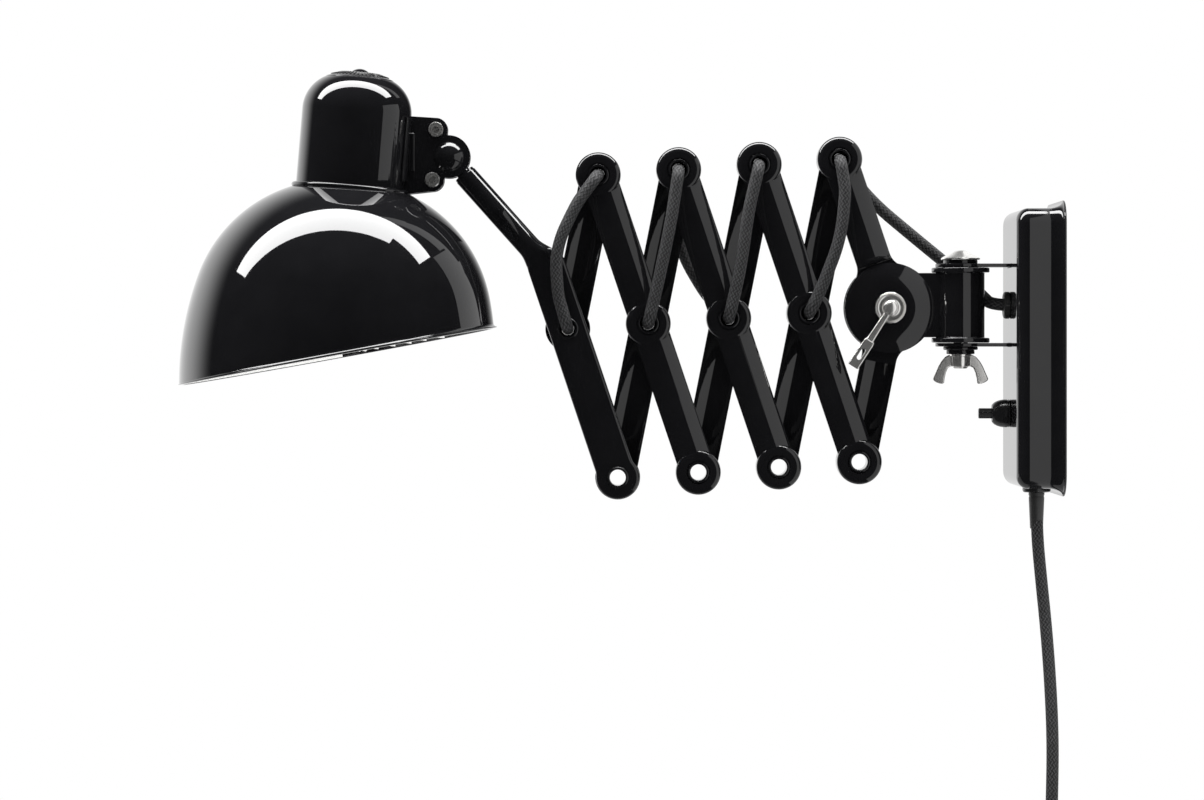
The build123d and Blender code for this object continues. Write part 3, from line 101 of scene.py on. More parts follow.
photo = {"width": 1204, "height": 800, "millimetresPerPixel": 0.655, "distance": 2450.0}
view = {"x": -298.0, "z": -1.0, "horizonPixel": 350.0}
cameraData = bpy.data.cameras.new("photoView")
cameraData.sensor_fit = "HORIZONTAL"
cameraData.sensor_width = 36.0
cameraData.lens = 36.0 * photo["distance"] / (photo["width"] * photo["millimetresPerPixel"])
cameraData.shift_y = (view["horizonPixel"] - photo["height"] / 2) / photo["width"]
cameraData.clip_end = 100.0
camera = bpy.data.objects.new("photoView", cameraData)
camera.location = (view["x"] / 1000, -photo["distance"] / 1000, view["z"] / 1000)
camera.rotation_euler = (radians(90), 0, 0)
bpy.context.scene.collection.objects.link(camera)
bpy.context.scene.camera = camera
bpy.context.scene.view_settings.view_transform = "Standard"
print("stage: camera")


# working by hand: selecting, drawing, spinning, cutting


def pickOnly(obj):
    bpy.ops.object.select_all(action="DESELECT")
    obj.select_set(True)
    bpy.context.view_layer.objects.active = obj


def editAll(obj):
    pickOnly(obj)
    bpy.ops.object.mode_set(mode="EDIT")
    bpy.ops.mesh.select_all(action="SELECT")


def leaveEdit():
    bpy.ops.object.mode_set(mode="OBJECT")


# faces turned outward at the end of an edit
def closeEdit():
    bpy.ops.mesh.select_all(action="SELECT")
    bpy.ops.mesh.normals_make_consistent(inside=False)
    leaveEdit()


def meshObject(name, points, edges, faces):
    mesh = bpy.data.meshes.new(name)
    mesh.from_pydata(points, edges, faces)
    obj = bpy.data.objects.new(name, mesh)
    bpy.context.scene.collection.objects.link(obj)
    return obj


# a line drawn through points, as the start of a spin or an extrusion
def drawnLine(name, points, closed):
    edges = [(index, index + 1) for index in range(len(points) - 1)]
    if closed:
        edges.append((len(points) - 1, 0))
    return meshObject(name, points, edges, [])


# points of an arc in a flat drawing, angles in degrees
def arc(centre, radius, start, stop, steps):
    turn = [radians(start + (stop - start) * index / steps) for index in range(steps + 1)]
    return [(centre[0] + radius * cos(angle), centre[1] + radius * sin(angle)) for angle in turn]


# arc that leaves (x0, y0) level and ends at (x1, y1), as on a domed disc
def levelArc(x0, y0, x1, y1, steps):
    radius = ((x1 - x0) ** 2 + (y1 - y0) ** 2) / (2 * (y0 - y1))
    stop = degrees(asin(max(-1.0, min(1.0, (y1 - y0 + radius) / radius))))
    return arc((x0, y0 - radius), radius, 90, stop, steps)


# round piece: pairs of radius and height, spun about the local z axis
def spun(name, profile, steps=96, closed=False):
    obj = drawnLine(name, [(radius, 0, height) for radius, height in profile], closed)
    editAll(obj)
    bpy.ops.mesh.spin(steps=steps, angle=2 * pi, center=(0, 0, 0), axis=(0, 0, 1))
    bpy.ops.mesh.select_all(action="SELECT")
    bpy.ops.mesh.remove_doubles(threshold=0.0005)
    closeEdit()
    return obj


# solid round bar about the local z axis, between two heights
def rodForm(name, radius, low, high, steps):
    return spun(name, [(0, low), (radius, low), (radius, high), (0, high)], steps)


# flat outline in x and y, filled and drawn out along z
def slab(name, outline, depth, low=0.0):
    obj = drawnLine(name, [(x, y, low) for x, y in outline], True)
    editAll(obj)
    bpy.ops.mesh.remove_doubles(threshold=0.02)
    bpy.ops.mesh.edge_face_add()
    bpy.ops.mesh.extrude_region_move(TRANSFORM_OT_translate={"value": (0, 0, depth)})
    closeEdit()
    return obj


# rings of equal count joined in order, both ends filled
def skinned(name, rings):
    count = len(rings[0])
    points = [point for ring in rings for point in ring]
    faces = []
    for row in range(len(rings) - 1):
        for column in range(count):
            beside = (column + 1) % count
            low, high = row * count, (row + 1) * count
            faces.append((low + column, low + beside, high + beside, high + column))
    faces.append(tuple(reversed(range(count))))
    faces.append(tuple(range((len(rings) - 1) * count, len(rings) * count)))
    obj = meshObject(name, points, [], faces)
    editAll(obj)
    closeEdit()
    return obj


# primitive that keeps its place, turn and scale in its points
def primitive(operator, **settings):
    bpy.ops.object.select_all(action="DESELECT")
    operator(**settings)
    bpy.ops.object.transform_apply(location=True, rotation=True, scale=True)
    return bpy.context.object


# small blocks at even steps round the local z axis, joined into one object
def blockRing(count, radius, height, turn, size):
    blocks = []
    for step in range(count):
        angle = 2 * pi * step / count
        blocks.append(
            primitive(
                bpy.ops.mesh.primitive_cube_add,
                size=1,
                location=(radius * cos(angle), radius * sin(angle), height),
                rotation=(*turn, angle),
                scale=size,
            )
        )
    return joined(blocks[0], *blocks[1:])


# cut by a plane and closed there; side says which half goes
def halved(obj, place, normal, side):
    editAll(obj)
    bpy.ops.mesh.bisect(
        plane_co=place,
        plane_no=normal,
        use_fill=True,
        clear_inner=side == "inner",
        clear_outer=side == "outer",
    )
    leaveEdit()
    return obj


def applied(obj, kind, **settings):
    modifier = obj.modifiers.new("shape", kind)
    for key, value in settings.items():
        setattr(modifier, key, value)
    pickOnly(obj)
    bpy.ops.object.modifier_apply(modifier=modifier.name)
    return obj


def combined(target, tool, operation):
    applied(target, "BOOLEAN", operation=operation, object=tool, solver="EXACT")
    bpy.data.objects.remove(tool)
    return target


def added(target, *tools):
    for tool in tools:
        combined(target, tool, "UNION")
    return target


def cutAway(target, *tools):
    for tool in tools:
        combined(target, tool, "DIFFERENCE")
    return target


def joined(target, *others):
    pickOnly(target)
    for other in others:
        other.select_set(True)
    bpy.ops.object.join()
    return target


def softened(obj, width, segments=2, angle=32):
    return applied(
        obj,
        "BEVEL",
        width=width,
        segments=segments,
        limit_method="ANGLE",
        angle_limit=radians(angle),
        use_clamp_overlap=True,
    )


def moved(obj, offset):
    obj.location = offset
    pickOnly(obj)
    bpy.ops.object.transform_apply(location=True, rotation=True, scale=True)
    return obj


# local x runs along, local z outward, millimetres become metres
def placed(obj, origin, along, outward):
    sideways = outward.cross(along)
    turn = Matrix((along, sideways, outward)).transposed().to_4x4()
    obj.matrix_world = (
        Matrix.Translation(origin * 0.001) @ turn @ Matrix.Diagonal((0.001, 0.001, 0.001, 1))
    )
    pickOnly(obj)
    bpy.ops.object.transform_apply(location=True, rotation=True, scale=True)
    return obj


def copied(obj, name):
    twin = obj.copy()
    twin.data = obj.data.copy()
    twin.name = name
    bpy.context.scene.collection.objects.link(twin)
    return twin


# last touches: name, finish, shading, the body it moves with and the solids it stands for
def dressed(obj, name, finish, body, nodes, smoothAngle=32):
    obj.name = name
    obj.data.name = name
    if finish is not None:
        obj.data.materials.clear()
        obj.data.materials.append(finishes[finish])
    pickOnly(obj)
    bpy.ops.object.shade_smooth_by_angle(angle=radians(smoothAngle))
    applied(obj, "WEIGHTED_NORMAL", keep_sharp=True, weight=80)
    if body:
        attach(obj, body)
    if nodes:
        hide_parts(*nodes)
    return obj


# finishes


# a socket that can be used in sums; each sum adds its Math node
class Signal:
    def __init__(self, mixer, socket):
        self.mixer = mixer
        self.socket = socket

    def __add__(self, other):
        return self.mixer.maths("ADD", self, other)

    def __radd__(self, other):
        return self.mixer.maths("ADD", other, self)

    def __sub__(self, other):
        return self.mixer.maths("SUBTRACT", self, other)

    def __rsub__(self, other):
        return self.mixer.maths("SUBTRACT", other, self)

    def __mul__(self, other):
        return self.mixer.maths("MULTIPLY", self, other)

    def __rmul__(self, other):
        return self.mixer.maths("MULTIPLY", other, self)

    def __truediv__(self, other):
        return self.mixer.maths("DIVIDE", self, other)


class Mixer:
    def __init__(self, name, holder=None):
        self.material = holder or bpy.data.materials.new(name)
        self.material.use_nodes = True
        self.tree = self.material.node_tree
        if holder is None:
            self.shader = self.tree.nodes["Principled BSDF"]
            self.output = self.tree.nodes["Material Output"]

    # any node: its settings first, then values or links of its sockets
    def node(self, kind, settings=None, **sockets):
        made = self.tree.nodes.new("ShaderNode" + kind)
        for key, value in (settings or {}).items():
            setattr(made, key, value)
        for key, value in sockets.items():
            self.feed(made.inputs[key.replace("_", " ")], value)
        return made

    def feed(self, socket, value):
        if isinstance(value, Signal):
            self.tree.links.new(value.socket, socket)
        elif isinstance(value, bpy.types.NodeSocket):
            self.tree.links.new(value, socket)
        else:
            socket.default_value = value

    def maths(self, operation, first, second=0.0):
        made = self.tree.nodes.new("ShaderNodeMath")
        made.operation = operation
        self.feed(made.inputs[0], first)
        self.feed(made.inputs[1], second)
        return Signal(self, made.outputs[0])

    def place(self):
        return self.node("TexCoord").outputs["Object"]

    def noise(self, scale, detail=2.0, roughness=0.5):
        made = self.node(
            "TexNoise", Vector=self.place(), Scale=scale, Detail=detail, Roughness=roughness
        )
        return Signal(self, made.outputs["Fac"])

    def constants(self, **values):
        for key, value in values.items():
            self.shader.inputs[key.replace("_", " ")].default_value = value

    def vary(self, **values):
        for key, value in values.items():
            self.feed(self.shader.inputs[key.replace("_", " ")], value)

    def bump(self, height, strength, distance):
        made = self.node("Bump", Height=height, Strength=strength, Distance=distance)
        self.feed(self.shader.inputs["Normal"], made.outputs["Normal"])

    # colour between two colours by a mask
    def blendColour(self, mask, first, second):
        made = self.node("Mix", {"data_type": "RGBA"})
        self.feed(made.inputs[0], mask)
        made.inputs[6].default_value = (*first, 1)
        made.inputs[7].default_value = (*second, 1)
        return made.outputs[2]


# stove enamel: deep, wet-looking, with a faint waviness and hardly any dust in it
def enamelFinish(name, colour, gloss, wave):
    mix = Mixer(name)
    mix.constants(Specular_IOR_Level=0.5, IOR=1.5)
    cloud = mix.noise(60.0, 3.0)
    pores = mix.noise(900.0, 2.0)
    tint = tuple(min(1.0, part * 1.35 + 0.001) for part in colour)
    mix.vary(
        Base_Color=mix.blendColour(cloud, colour, tint),
        Roughness=gloss + cloud * 0.015 + pores * 0.01,
    )
    mix.bump(mix.noise(140.0, 1.0), wave, 0.0002)
    return mix.material


# nickel plate: bright, with fine polishing lines and small dull patches
def nickelFinish(name, colour, gloss):
    mix = Mixer(name)
    mix.constants(Metallic=0.9)
    lines = mix.node("Mapping", Vector=mix.place(), Scale=(1.0, 1.0, 0.06))
    grain = mix.node("TexNoise", Vector=lines.outputs[0], Scale=2400.0, Detail=3.0)
    grain = Signal(mix, grain.outputs["Fac"])
    cloud = mix.noise(180.0, 3.0)
    worn = tuple(part * 0.82 for part in colour)
    mix.vary(
        Base_Color=mix.blendColour(cloud, colour, worn),
        Roughness=gloss + grain * 0.10 + cloud * 0.05,
    )
    mix.bump(grain, 0.08, 0.0001)
    return mix.material


# moulded black plastic and rubber: a soft grain under a dull or shiny skin
def mouldedFinish(name, colour, gloss, grainScale, grainDepth):
    mix = Mixer(name)
    cloud = mix.noise(90.0, 3.0)
    grain = mix.noise(grainScale, 2.0)
    pale = tuple(part * 1.5 + 0.002 for part in colour)
    mix.vary(
        Base_Color=mix.blendColour(cloud, colour, pale),
        Roughness=gloss + cloud * 0.06 + grain * 0.05,
    )
    mix.bump(grain, 0.25, grainDepth)
    return mix.material


# braided textile over a cord: two families of yarns crossing over and under each other
def braidFinish(name, colour, crestHighlight, yarns, pitch):
    mix = Mixer(name)
    mix.constants(Specular_IOR_Level=0.35)
    split = mix.node("SeparateXYZ", Vector=mix.node("UVMap").outputs["UV"])
    along = Signal(mix, split.outputs[0])
    around = Signal(mix, split.outputs[1])
    rising = along / pitch + around * yarns
    falling = along / pitch - around * yarns
    crests = []
    cells = []
    for family in (rising, falling):
        crests.append(mix.maths("ABSOLUTE", mix.maths("SINE", family * pi)))
        cells.append(mix.maths("FLOOR", family))
    parity = mix.maths("FLOORED_MODULO", cells[0] + cells[1], 2.0)
    height = parity * crests[0] + (1.0 - parity) * crests[1]
    fibres = mix.noise(5200.0, 3.0, 0.6)
    highlightPatches = mix.noise(260.0, 3.0)
    raised = height * 0.75 + fibres * 0.35
    # painted highlight: the raised crests of the yarns take the lighter colour, patchy by noise
    mask = mix.maths("POWER", raised, 4.0) * (0.5 + highlightPatches)
    mix.vary(Base_Color=mix.blendColour(mask, colour, crestHighlight), Roughness=0.62 + fibres * 0.25)
    mix.bump(height * 0.8 + fibres * 0.3, 0.9, 0.00035)
    return mix.material


def porcelainFinish(name):
    mix = Mixer(name)
    mix.constants(Subsurface_Weight=0.1, Subsurface_Scale=0.003)
    cloud = mix.noise(70.0, 3.0)
    mix.vary(
        Base_Color=mix.blendColour(cloud, (0.84, 0.83, 0.79), (0.9, 0.89, 0.86)),
        Roughness=0.12 + cloud * 0.08,
    )
    mix.bump(mix.noise(300.0, 1.0), 0.05, 0.0002)
    return mix.material


def opalGlassFinish(name):
    mix = Mixer(name)
    mix.constants(Transmission_Weight=0.35, IOR=1.45, Subsurface_Weight=0.5, Subsurface_Scale=0.01)
    cloud = mix.noise(50.0, 2.0)
    mix.vary(
        Base_Color=mix.blendColour(cloud, (0.86, 0.86, 0.84), (0.94, 0.94, 0.92)),
        Roughness=0.22 + cloud * 0.1,
    )
    mix.bump(mix.noise(1500.0, 1.0), 0.06, 0.0001)
    return mix.material


finishes = {
    "shade": enamelFinish("shadeEnamel", (0.004, 0.004, 0.0045), 0.02, 0.02),
    "steel": enamelFinish("paintedSteel", (0.004, 0.004, 0.0045), 0.035, 0.03),
    "inside": enamelFinish("whiteLining", (0.82, 0.82, 0.8), 0.25, 0.04),
    "nickel": nickelFinish("nickelPlate", (0.86, 0.85, 0.83), 0.09),
    "zinc": nickelFinish("zincPlate", (0.56, 0.57, 0.58), 0.28),
    "plastic": mouldedFinish("blackPlastic", (0.006, 0.006, 0.0065), 0.16, 800.0, 0.00008),
    "rubber": mouldedFinish("blackRubber", (0.012, 0.012, 0.012), 0.42, 1500.0, 0.0001),
    # the braid's second colour is a painted highlight on the yarn crests
    "braid": braidFinish("braidedCover", (0.003, 0.003, 0.0035), (0.06, 0.06, 0.062), 10.0, 0.0036),
    "porcelain": porcelainFinish("porcelain"),
    "opal": opalGlassFinish("opalGlass"),
}
print("stage: finishes")


# cords: one smooth line each, with a braided tube along it

cordSizes = {"radius": 4.0, "plane": 14.6, "sides": 20}


# points along the smooth line that a route's control points give, in metres
def smoothLine(route, detail):
    data = bpy.data.curves.new("route", "CURVE")
    data.dimensions = "3D"
    spline = data.splines.new("NURBS")
    spline.points.add(len(route) - 1)
    for knot, point in zip(spline.points, route):
        knot.co = (point[0] / 1000, point[1] / 1000, point[2] / 1000, 1)
    spline.order_u = 3
    spline.use_endpoint_u = True
    data.resolution_u = detail
    obj = bpy.data.objects.new("route", data)
    bpy.context.scene.collection.objects.link(obj)
    mesh = bpy.data.meshes.new_from_object(obj)
    line = [vertex.co.copy() for vertex in mesh.vertices]
    bpy.data.meshes.remove(mesh)
    bpy.data.objects.remove(obj)
    return line


# round tube along a line, or along part of it, with its length and turn kept as UV
def tube(name, line, radius, first=0, last=None, sides=20):
    last = len(line) - 1 if last is None else last
    side = (line[1] - line[0]).orthogonal().normalized()
    points = []
    lengths = []
    along = 0.0
    for index, spot in enumerate(line):
        heading = (line[min(index + 1, len(line) - 1)] - line[max(index - 1, 0)]).normalized()
        side = (side - heading * side.dot(heading)).normalized()
        other = heading.cross(side)
        if index:
            along += (spot - line[index - 1]).length
        if first <= index <= last:
            lengths.append(along)
            for step in range(sides):
                angle = 2 * pi * step / sides
                points.append(spot + (side * cos(angle) + other * sin(angle)) * radius / 1000)
    faces = [tuple(reversed(range(sides)))]
    mapping = [[(0, 0)] * sides]
    for row in range(last - first):
        for step in range(sides):
            beside = (step + 1) % sides
            low, high = row * sides, (row + 1) * sides
            faces.append((low + step, low + beside, high + beside, high + step))
            start, end = step / sides, (step + 1) / sides
            here, there = lengths[row], lengths[row + 1]
            mapping.append([(here, start), (here, end), (there, end), (there, start)])
    faces.append(tuple(range((last - first) * sides, (last - first + 1) * sides)))
    mapping.append([(0, 0)] * sides)
    obj = meshObject(name, points, [], faces)
    layer = obj.data.uv_layers.new(name="UVMap")
    for face, corners in zip(obj.data.polygons, mapping):
        for loop, corner in zip(face.loop_indices, corners):
            layer.data[loop].uv = corner
    return obj


# control points of a stretch that leaves one rivet and goes into the next one down
def heldRoute(start, end, outward, bows):
    plane = cordSizes["plane"]
    down = end - start
    aside = (toWall - down * (toWall.dot(down) / down.dot(down))).normalized()
    places = [start + outward * plane]
    for share, sideways, further in bows:
        places.append(start + down * share + aside * sideways + outward * (plane + further))
    places.append(end + outward * plane)
    near = places[0] + (places[1] - places[0]).normalized() * plane
    far = places[-1] + (places[-2] - places[-1]).normalized() * plane
    return [start, places[0], near] + places[1:-1] + [far, places[-1], end]


frontBows = {
    1: [(0.22, -10.5, 3.0), (0.52, -18.0, 5.0), (0.80, -10.5, 2.6)],
    2: [(0.34, 1.6, 1.2), (0.68, 1.2, 1.0)],
    3: [(0.30, -1.2, 1.2), (0.66, 0.9, 1.4)],
    4: [(0.20, 7.4, 1.2), (0.50, 10.2, 2.2), (0.80, 4.8, 1.2)],
}
rearBows = {
    1: [(0.34, 2.2, 1.2), (0.68, -2.0, 1.6)],
    2: [(0.20, -8.6, 1.4), (0.48, -15.4, 3.4), (0.78, -9.4, 1.4)],
    3: [(0.32, -3.0, 1.4), (0.66, 2.0, 1.2)],
}


def heldCord(name, start, end, outward, bows, body, node):
    line = smoothLine(heldRoute(start, end, outward, bows), 10)
    cord = tube(name, line, cordSizes["radius"], sides=cordSizes["sides"])
    dressed(cord, name, "braid", body, [node], 60)


for cell, bows in frontBows.items():
    body, node = f"rear_link_{cell}", f"cord_front_{cell}"
    heldCord(f"cordFront{cell}", topPivot[cell], middlePivot[cell], toView, bows, body, node)
for cell, bows in rearBows.items():
    body, node = f"front_link_{cell}", f"cord_rear_{cell}"
    heldCord(f"cordRear{cell}", topPivot[cell], middlePivot[cell + 1], toRear, bows, body, node)

# from the last rivet behind the barrel into the box: three pieces, as it bends at three joints
lastTop = topPivot[linkage["cells"]]
wallRoute = [
    Vector((lastTop.x, 0, lastTop.z)),
    Vector((lastTop.x, cordSizes["plane"], lastTop.z)),
    Vector((-118.0, 18.5, 95.0)),
    Vector((-95.5, 22.0, 76.5)),
    Vector((-75.5, 27.0, 60.5)),
    Vector((-58.0, 28.0, 46.5)),
    Vector((-46.5, 16.5, 34.0)),
    Vector((-42.8, 0.0, hingeAxis.z)),
    Vector((-24.8, 0.0, hingeAxis.z)),
]
swingJoin = (wallRoute[2] + wallRoute[3]) / 2
tiltJoin = (wallRoute[3] + wallRoute[4]) / 2
firstCorner = wallRoute[1]
nearCorner = firstCorner + (wallRoute[2] - firstCorner).normalized() * cordSizes["plane"]
wallLine = smoothLine(wallRoute[:2] + [nearCorner] + wallRoute[2:], 12)


# index of the line's point that lies nearest to a place
def nearest(line, place):
    return min(range(len(line)), key=lambda index: (line[index] - place / 1000).length)


swingEnd = nearest(wallLine, swingJoin)
tiltEnd = nearest(wallLine, tiltJoin)
lastIndex = len(wallLine) - 1
for name, first, last, here, there, node in (
    ("cordSwing", 0, swingEnd, "front_disc_link", "clamp", "cord_swing"),
    ("cordTilt", swingEnd, tiltEnd, "clamp", "hinge", "cord_tilt"),
    ("cordSwivel", tiltEnd, lastIndex, "hinge", "wall", "cord_swivel"),
):
    cord = tube(name, wallLine, cordSizes["radius"], first, last, cordSizes["sides"])
    dressed(cord, name, "braid", None, [node], 60)
    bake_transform(cord)

# mains cord: down beside the wall, then wound up with the plug at its end
coilSizes = {
    "centre": Vector((-9.5, 12.0, -366.0)),
    "radius": 55.0,
    "pitch": 8.7,
    "halfTurns": 5,
    "pointsPerTurn": 16,
}
mainsRoute = [
    (-13.4, 0.0, -94.1),
    (-13.4, 0.0, -118.0),
    (-11.3, -5.5, -148.0),
    (-8.7, -14.0, -182.0),
    (-7.3, -25.0, -217.0),
    (-6.9, -35.5, -254.0),
    (-8.3, -41.5, -292.0),
    (-9.5, -43.0, -325.0),
    (-9.5, -43.0, -358.0),
]


# radius and layer of the winding: inward by the wall, over, and outward in front
def winding(turn):
    outer, pitch, count = coilSizes["radius"], coilSizes["pitch"], coilSizes["halfTurns"]
    inner = outer - count * pitch / 2
    half = int(turn * 2 + 0.0001)
    share = turn * 2 - half
    ease = (1 - cos(pi * share)) / 2
    if half < count:
        return outer - (half + ease) * pitch / 2, 0.0
    if half == count:
        return inner - pitch / 4 * sin(pi * share), share * share * (3 - 2 * share)
    return inner + (half - count - 1 + ease) * pitch / 2, 1.0


coilTurns = coilSizes["halfTurns"] + 1
coilRoute = []
for step in range(coilTurns * coilSizes["pointsPerTurn"] + 1):
    turn = step / coilSizes["pointsPerTurn"]
    radius, layer = winding(turn)
    radius /= cos(pi / coilSizes["pointsPerTurn"])
    away = (toView * cos(2 * pi * turn) - up * sin(2 * pi * turn)) * radius
    coilRoute.append(coilSizes["centre"] + away - toWall * layer * coilSizes["pitch"])
plugStart = coilSizes["centre"] + Vector((-coilSizes["pitch"], -59.35, -8.0))
mainsLine = smoothLine(mainsRoute + coilRoute + [plugStart], 6)
mainsCord = tube("mainsCord", mainsLine, cordSizes["radius"], sides=16)
dressed(mainsCord, "mainsCord", "braid", "wall", ["mains_cord", "cord_coil"], 60)
print("stage: cords", len(mainsLine))


# pressed bars of the linkage


barSizes = {
    "width": 23.0,
    "depth": 9.0,
    "side": 4.6,
    "sheet": 1.0,
    "bossRadius": 14.7,
    "bossFlat": 11.3,
    "bossTop": 9.4,
    "bossSide": 5.4,
    "dimpleRadius": 7.6,
    "dimpleFloor": 8.5,
    "holeRadius": 5.96,
    "edge": 0.45,
}


# crowned blank between two places along x, made from a rod cut to a cap with upright sides
def barBlank(start, stop, thinner):
    half = barSizes["width"] / 2 - thinner
    side = barSizes["side"] - thinner / 2
    rise = barSizes["depth"] - thinner - side
    radius = (half * half + rise * rise) / (2 * rise)
    blank = primitive(
        bpy.ops.mesh.primitive_cylinder_add,
        vertices=160,
        radius=radius,
        depth=stop - start,
        location=((start + stop) / 2, 0, side + rise - radius),
        rotation=(0, pi / 2, 0),
    )
    halved(blank, (0, half, 0), (0, 1, 0), "outer")
    halved(blank, (0, -half, 0), (0, -1, 0), "outer")
    return halved(blank, (0, 0, -thinner), (0, 0, -1), "outer")


def bossForm(name, thinner):
    top = barSizes["bossTop"] - thinner
    radius = barSizes["bossRadius"] - thinner
    side = barSizes["bossSide"] - thinner / 2
    profile = [(0, -thinner), (radius, -thinner)]
    profile += list(reversed(levelArc(barSizes["bossFlat"], top, radius, side, 12)))
    profile.append((0, top))
    return spun(name, profile, 72)


# dimple with the rivet's hole, in a boss that is hollow from behind
def dimpled(bar, place):
    hole, dimple = barSizes["holeRadius"], barSizes["dimpleRadius"]
    floor, sheet = barSizes["dimpleFloor"], barSizes["sheet"]
    profile = [(0, -3), (hole, -3), (hole, floor), (dimple, floor), (dimple + 0.5, 12), (0, 12)]
    added(bar, moved(rodForm("floor", dimple + sheet, floor - sheet, floor, 64), (place, 0, 0)))
    cutAway(bar, moved(spun("seat", profile, 64), (place, 0, 0)))


# a pressed bar with a boss at each place along it
def pressedBar(name, start, stop, places):
    bar = barBlank(start, stop, 0)
    for place in places:
        added(bar, moved(bossForm("boss", 0), (place, 0, 0)))
    cutAway(bar, barBlank(start - 1, stop + 1, barSizes["sheet"]))
    for place in places:
        cutAway(bar, moved(bossForm("hollow", barSizes["sheet"]), (place, 0, 0)))
    for place in places:
        dimpled(bar, place)
    softened(bar, barSizes["edge"], 2, 34)
    bar.name = name
    return bar


full = linkage["barLength"]
fullBar = pressedBar("fullBar", 0, full, (0, full / 2, full))
shortBar = pressedBar("shortBar", 0, halfBar, (0, halfBar))


def layBar(source, name, low, high, outward, body, node):
    along = (high - low).normalized()
    twin = placed(copied(source, name), low + outward * linkage["layerGap"], along, outward)
    dressed(twin, name, "steel", body, [node])


for cell in range(1, linkage["cells"]):
    low, body, node = bottomPivot[cell + 1], f"front_link_{cell}", f"front_bar_{cell}"
    layBar(fullBar, f"frontBar{cell}", low, topPivot[cell], toView, body, node)
for cell in range(2, linkage["cells"] + 1):
    low, body, node = bottomPivot[cell - 1], f"rear_link_{cell}", f"rear_bar_{cell}"
    layBar(fullBar, f"rearBar{cell}", low, topPivot[cell], toRear, body, node)
low = middlePivot[1]
layBar(shortBar, "rearHalfBar", low, topPivot[1], toRear, "rear_link_1", "rear_half_bar")
for spare in (fullBar, shortBar):
    bpy.data.objects.remove(spare)
print("stage: bars")


# half bars with the friction disc

discSizes = {"radius": 29.0, "depth": 4.4, "flare": 12.0, "start": 30.1, "ramp": 5.0, "bolt": 4.06}


# outline of the disc and its neck, as one closed line
def discOutline():
    half = barSizes["width"] / 2
    flare = discSizes["flare"]
    radius = discSizes["radius"]
    reach = sqrt((radius + flare) ** 2 - (half + flare) ** 2)
    touch = degrees(atan2(half + flare, reach))
    far = discSizes["start"] + discSizes["ramp"]
    outline = arc((0, 0), radius, touch, 360 - touch, 96)
    outline += arc((reach, -half - flare), flare, 180 - touch, 90, 12)
    outline += [(far + 6, -half), (far + 6, half)]
    outline += arc((reach, half + flare), flare, 270, 180 + touch, 12)
    return outline


def discBar(name, pivot, outward, body, node):
    run = (pivot - discAxis).length
    start = discSizes["start"]
    bar = barBlank(start, run, 0)
    slope = Vector((barSizes["depth"] - discSizes["depth"], 0, -discSizes["ramp"]))
    halved(bar, (start, 0, discSizes["depth"]), slope, "inner")
    added(bar, moved(bossForm("boss", 0), (run, 0, 0)))
    added(bar, slab("disc", discOutline(), discSizes["depth"]))
    cutAway(bar, barBlank(start + discSizes["ramp"] + 1, run + 1, barSizes["sheet"]))
    cutAway(bar, moved(bossForm("hollow", barSizes["sheet"]), (run, 0, 0)))
    dimpled(bar, run)
    cutAway(bar, rodForm("bolt", discSizes["bolt"], -1, 12, 48))
    softened(bar, barSizes["edge"], 2, 34)
    along = (pivot - discAxis).normalized()
    placed(bar, discAxis + outward * linkage["layerGap"], along, outward)
    dressed(bar, name, "steel", body, [node])


discBar("frontDiscBar", topPivot[4], toView, "front_disc_link", "front_disc_bar")
discBar("rearDiscBar", bottomPivot[4], toRear, "rear_disc_link", "rear_disc_bar")
print("stage: disc bars")


# hollow rivets

rivetSizes = {"bore": 5.2, "wall": 0.7, "rim": 7.1, "rimHeight": 0.9, "throat": 4.05}


def rivet(frontFloor, holdsCord):
    bore = rivetSizes["bore"]
    outer = bore + rivetSizes["wall"]
    rim = rivetSizes["rim"]
    height = rivetSizes["rimHeight"]
    rearFloor = linkage["layerGap"] + barSizes["dimpleFloor"] + 0.06
    crest = (bore + rim) / 2
    half = (rim - bore) / 2
    bead = [
        (crest + half * cos(angle), height * sin(angle))
        for angle in (radians(180 * step / 14) for step in range(15))
    ]
    profile = [(radius, frontFloor + rise) for radius, rise in bead]
    if holdsCord:
        throat = rivetSizes["throat"]
        profile += [(bore, 2.6), (throat, 2.0), (throat, -2.0), (bore, -2.6)]
    profile += [(radius, -rearFloor - rise) for radius, rise in reversed(bead)]
    profile += [(outer, -rearFloor), (outer, frontFloor)]
    return spun("rivet", profile, 64, closed=True)


rivetFloor = linkage["layerGap"] + barSizes["dimpleFloor"]
rivetGroups = {
    "armRivets": ([middlePivot[1], bottomPivot[1]], "arm", "head_arm_rivets"),
    "discBarRivet": ([topPivot[4]], "front_disc_link", "disc_bar_rivet"),
}
for cell in range(1, linkage["cells"]):
    rivetGroups[f"frontBar{cell}Rivets"] = (
        [topPivot[cell], middlePivot[cell + 1], bottomPivot[cell + 1]],
        f"front_link_{cell}",
        f"front_bar_{cell}_rivets",
    )
for name, (pivots, body, node) in rivetGroups.items():
    floor = linkage["layerGap"] + armSizes["depth"] if body == "arm" else rivetFloor
    rings = []
    for pivot in pivots:
        holdsCord = pivot not in bottomPivot.values()
        rings.append(placed(rivet(floor, holdsCord), pivot, toWall, toView))
    joined(rings[0], *rings[1:])
    dressed(rings[0], name, "steel", body, [node], 40)
print("stage: rivets")


# head arm


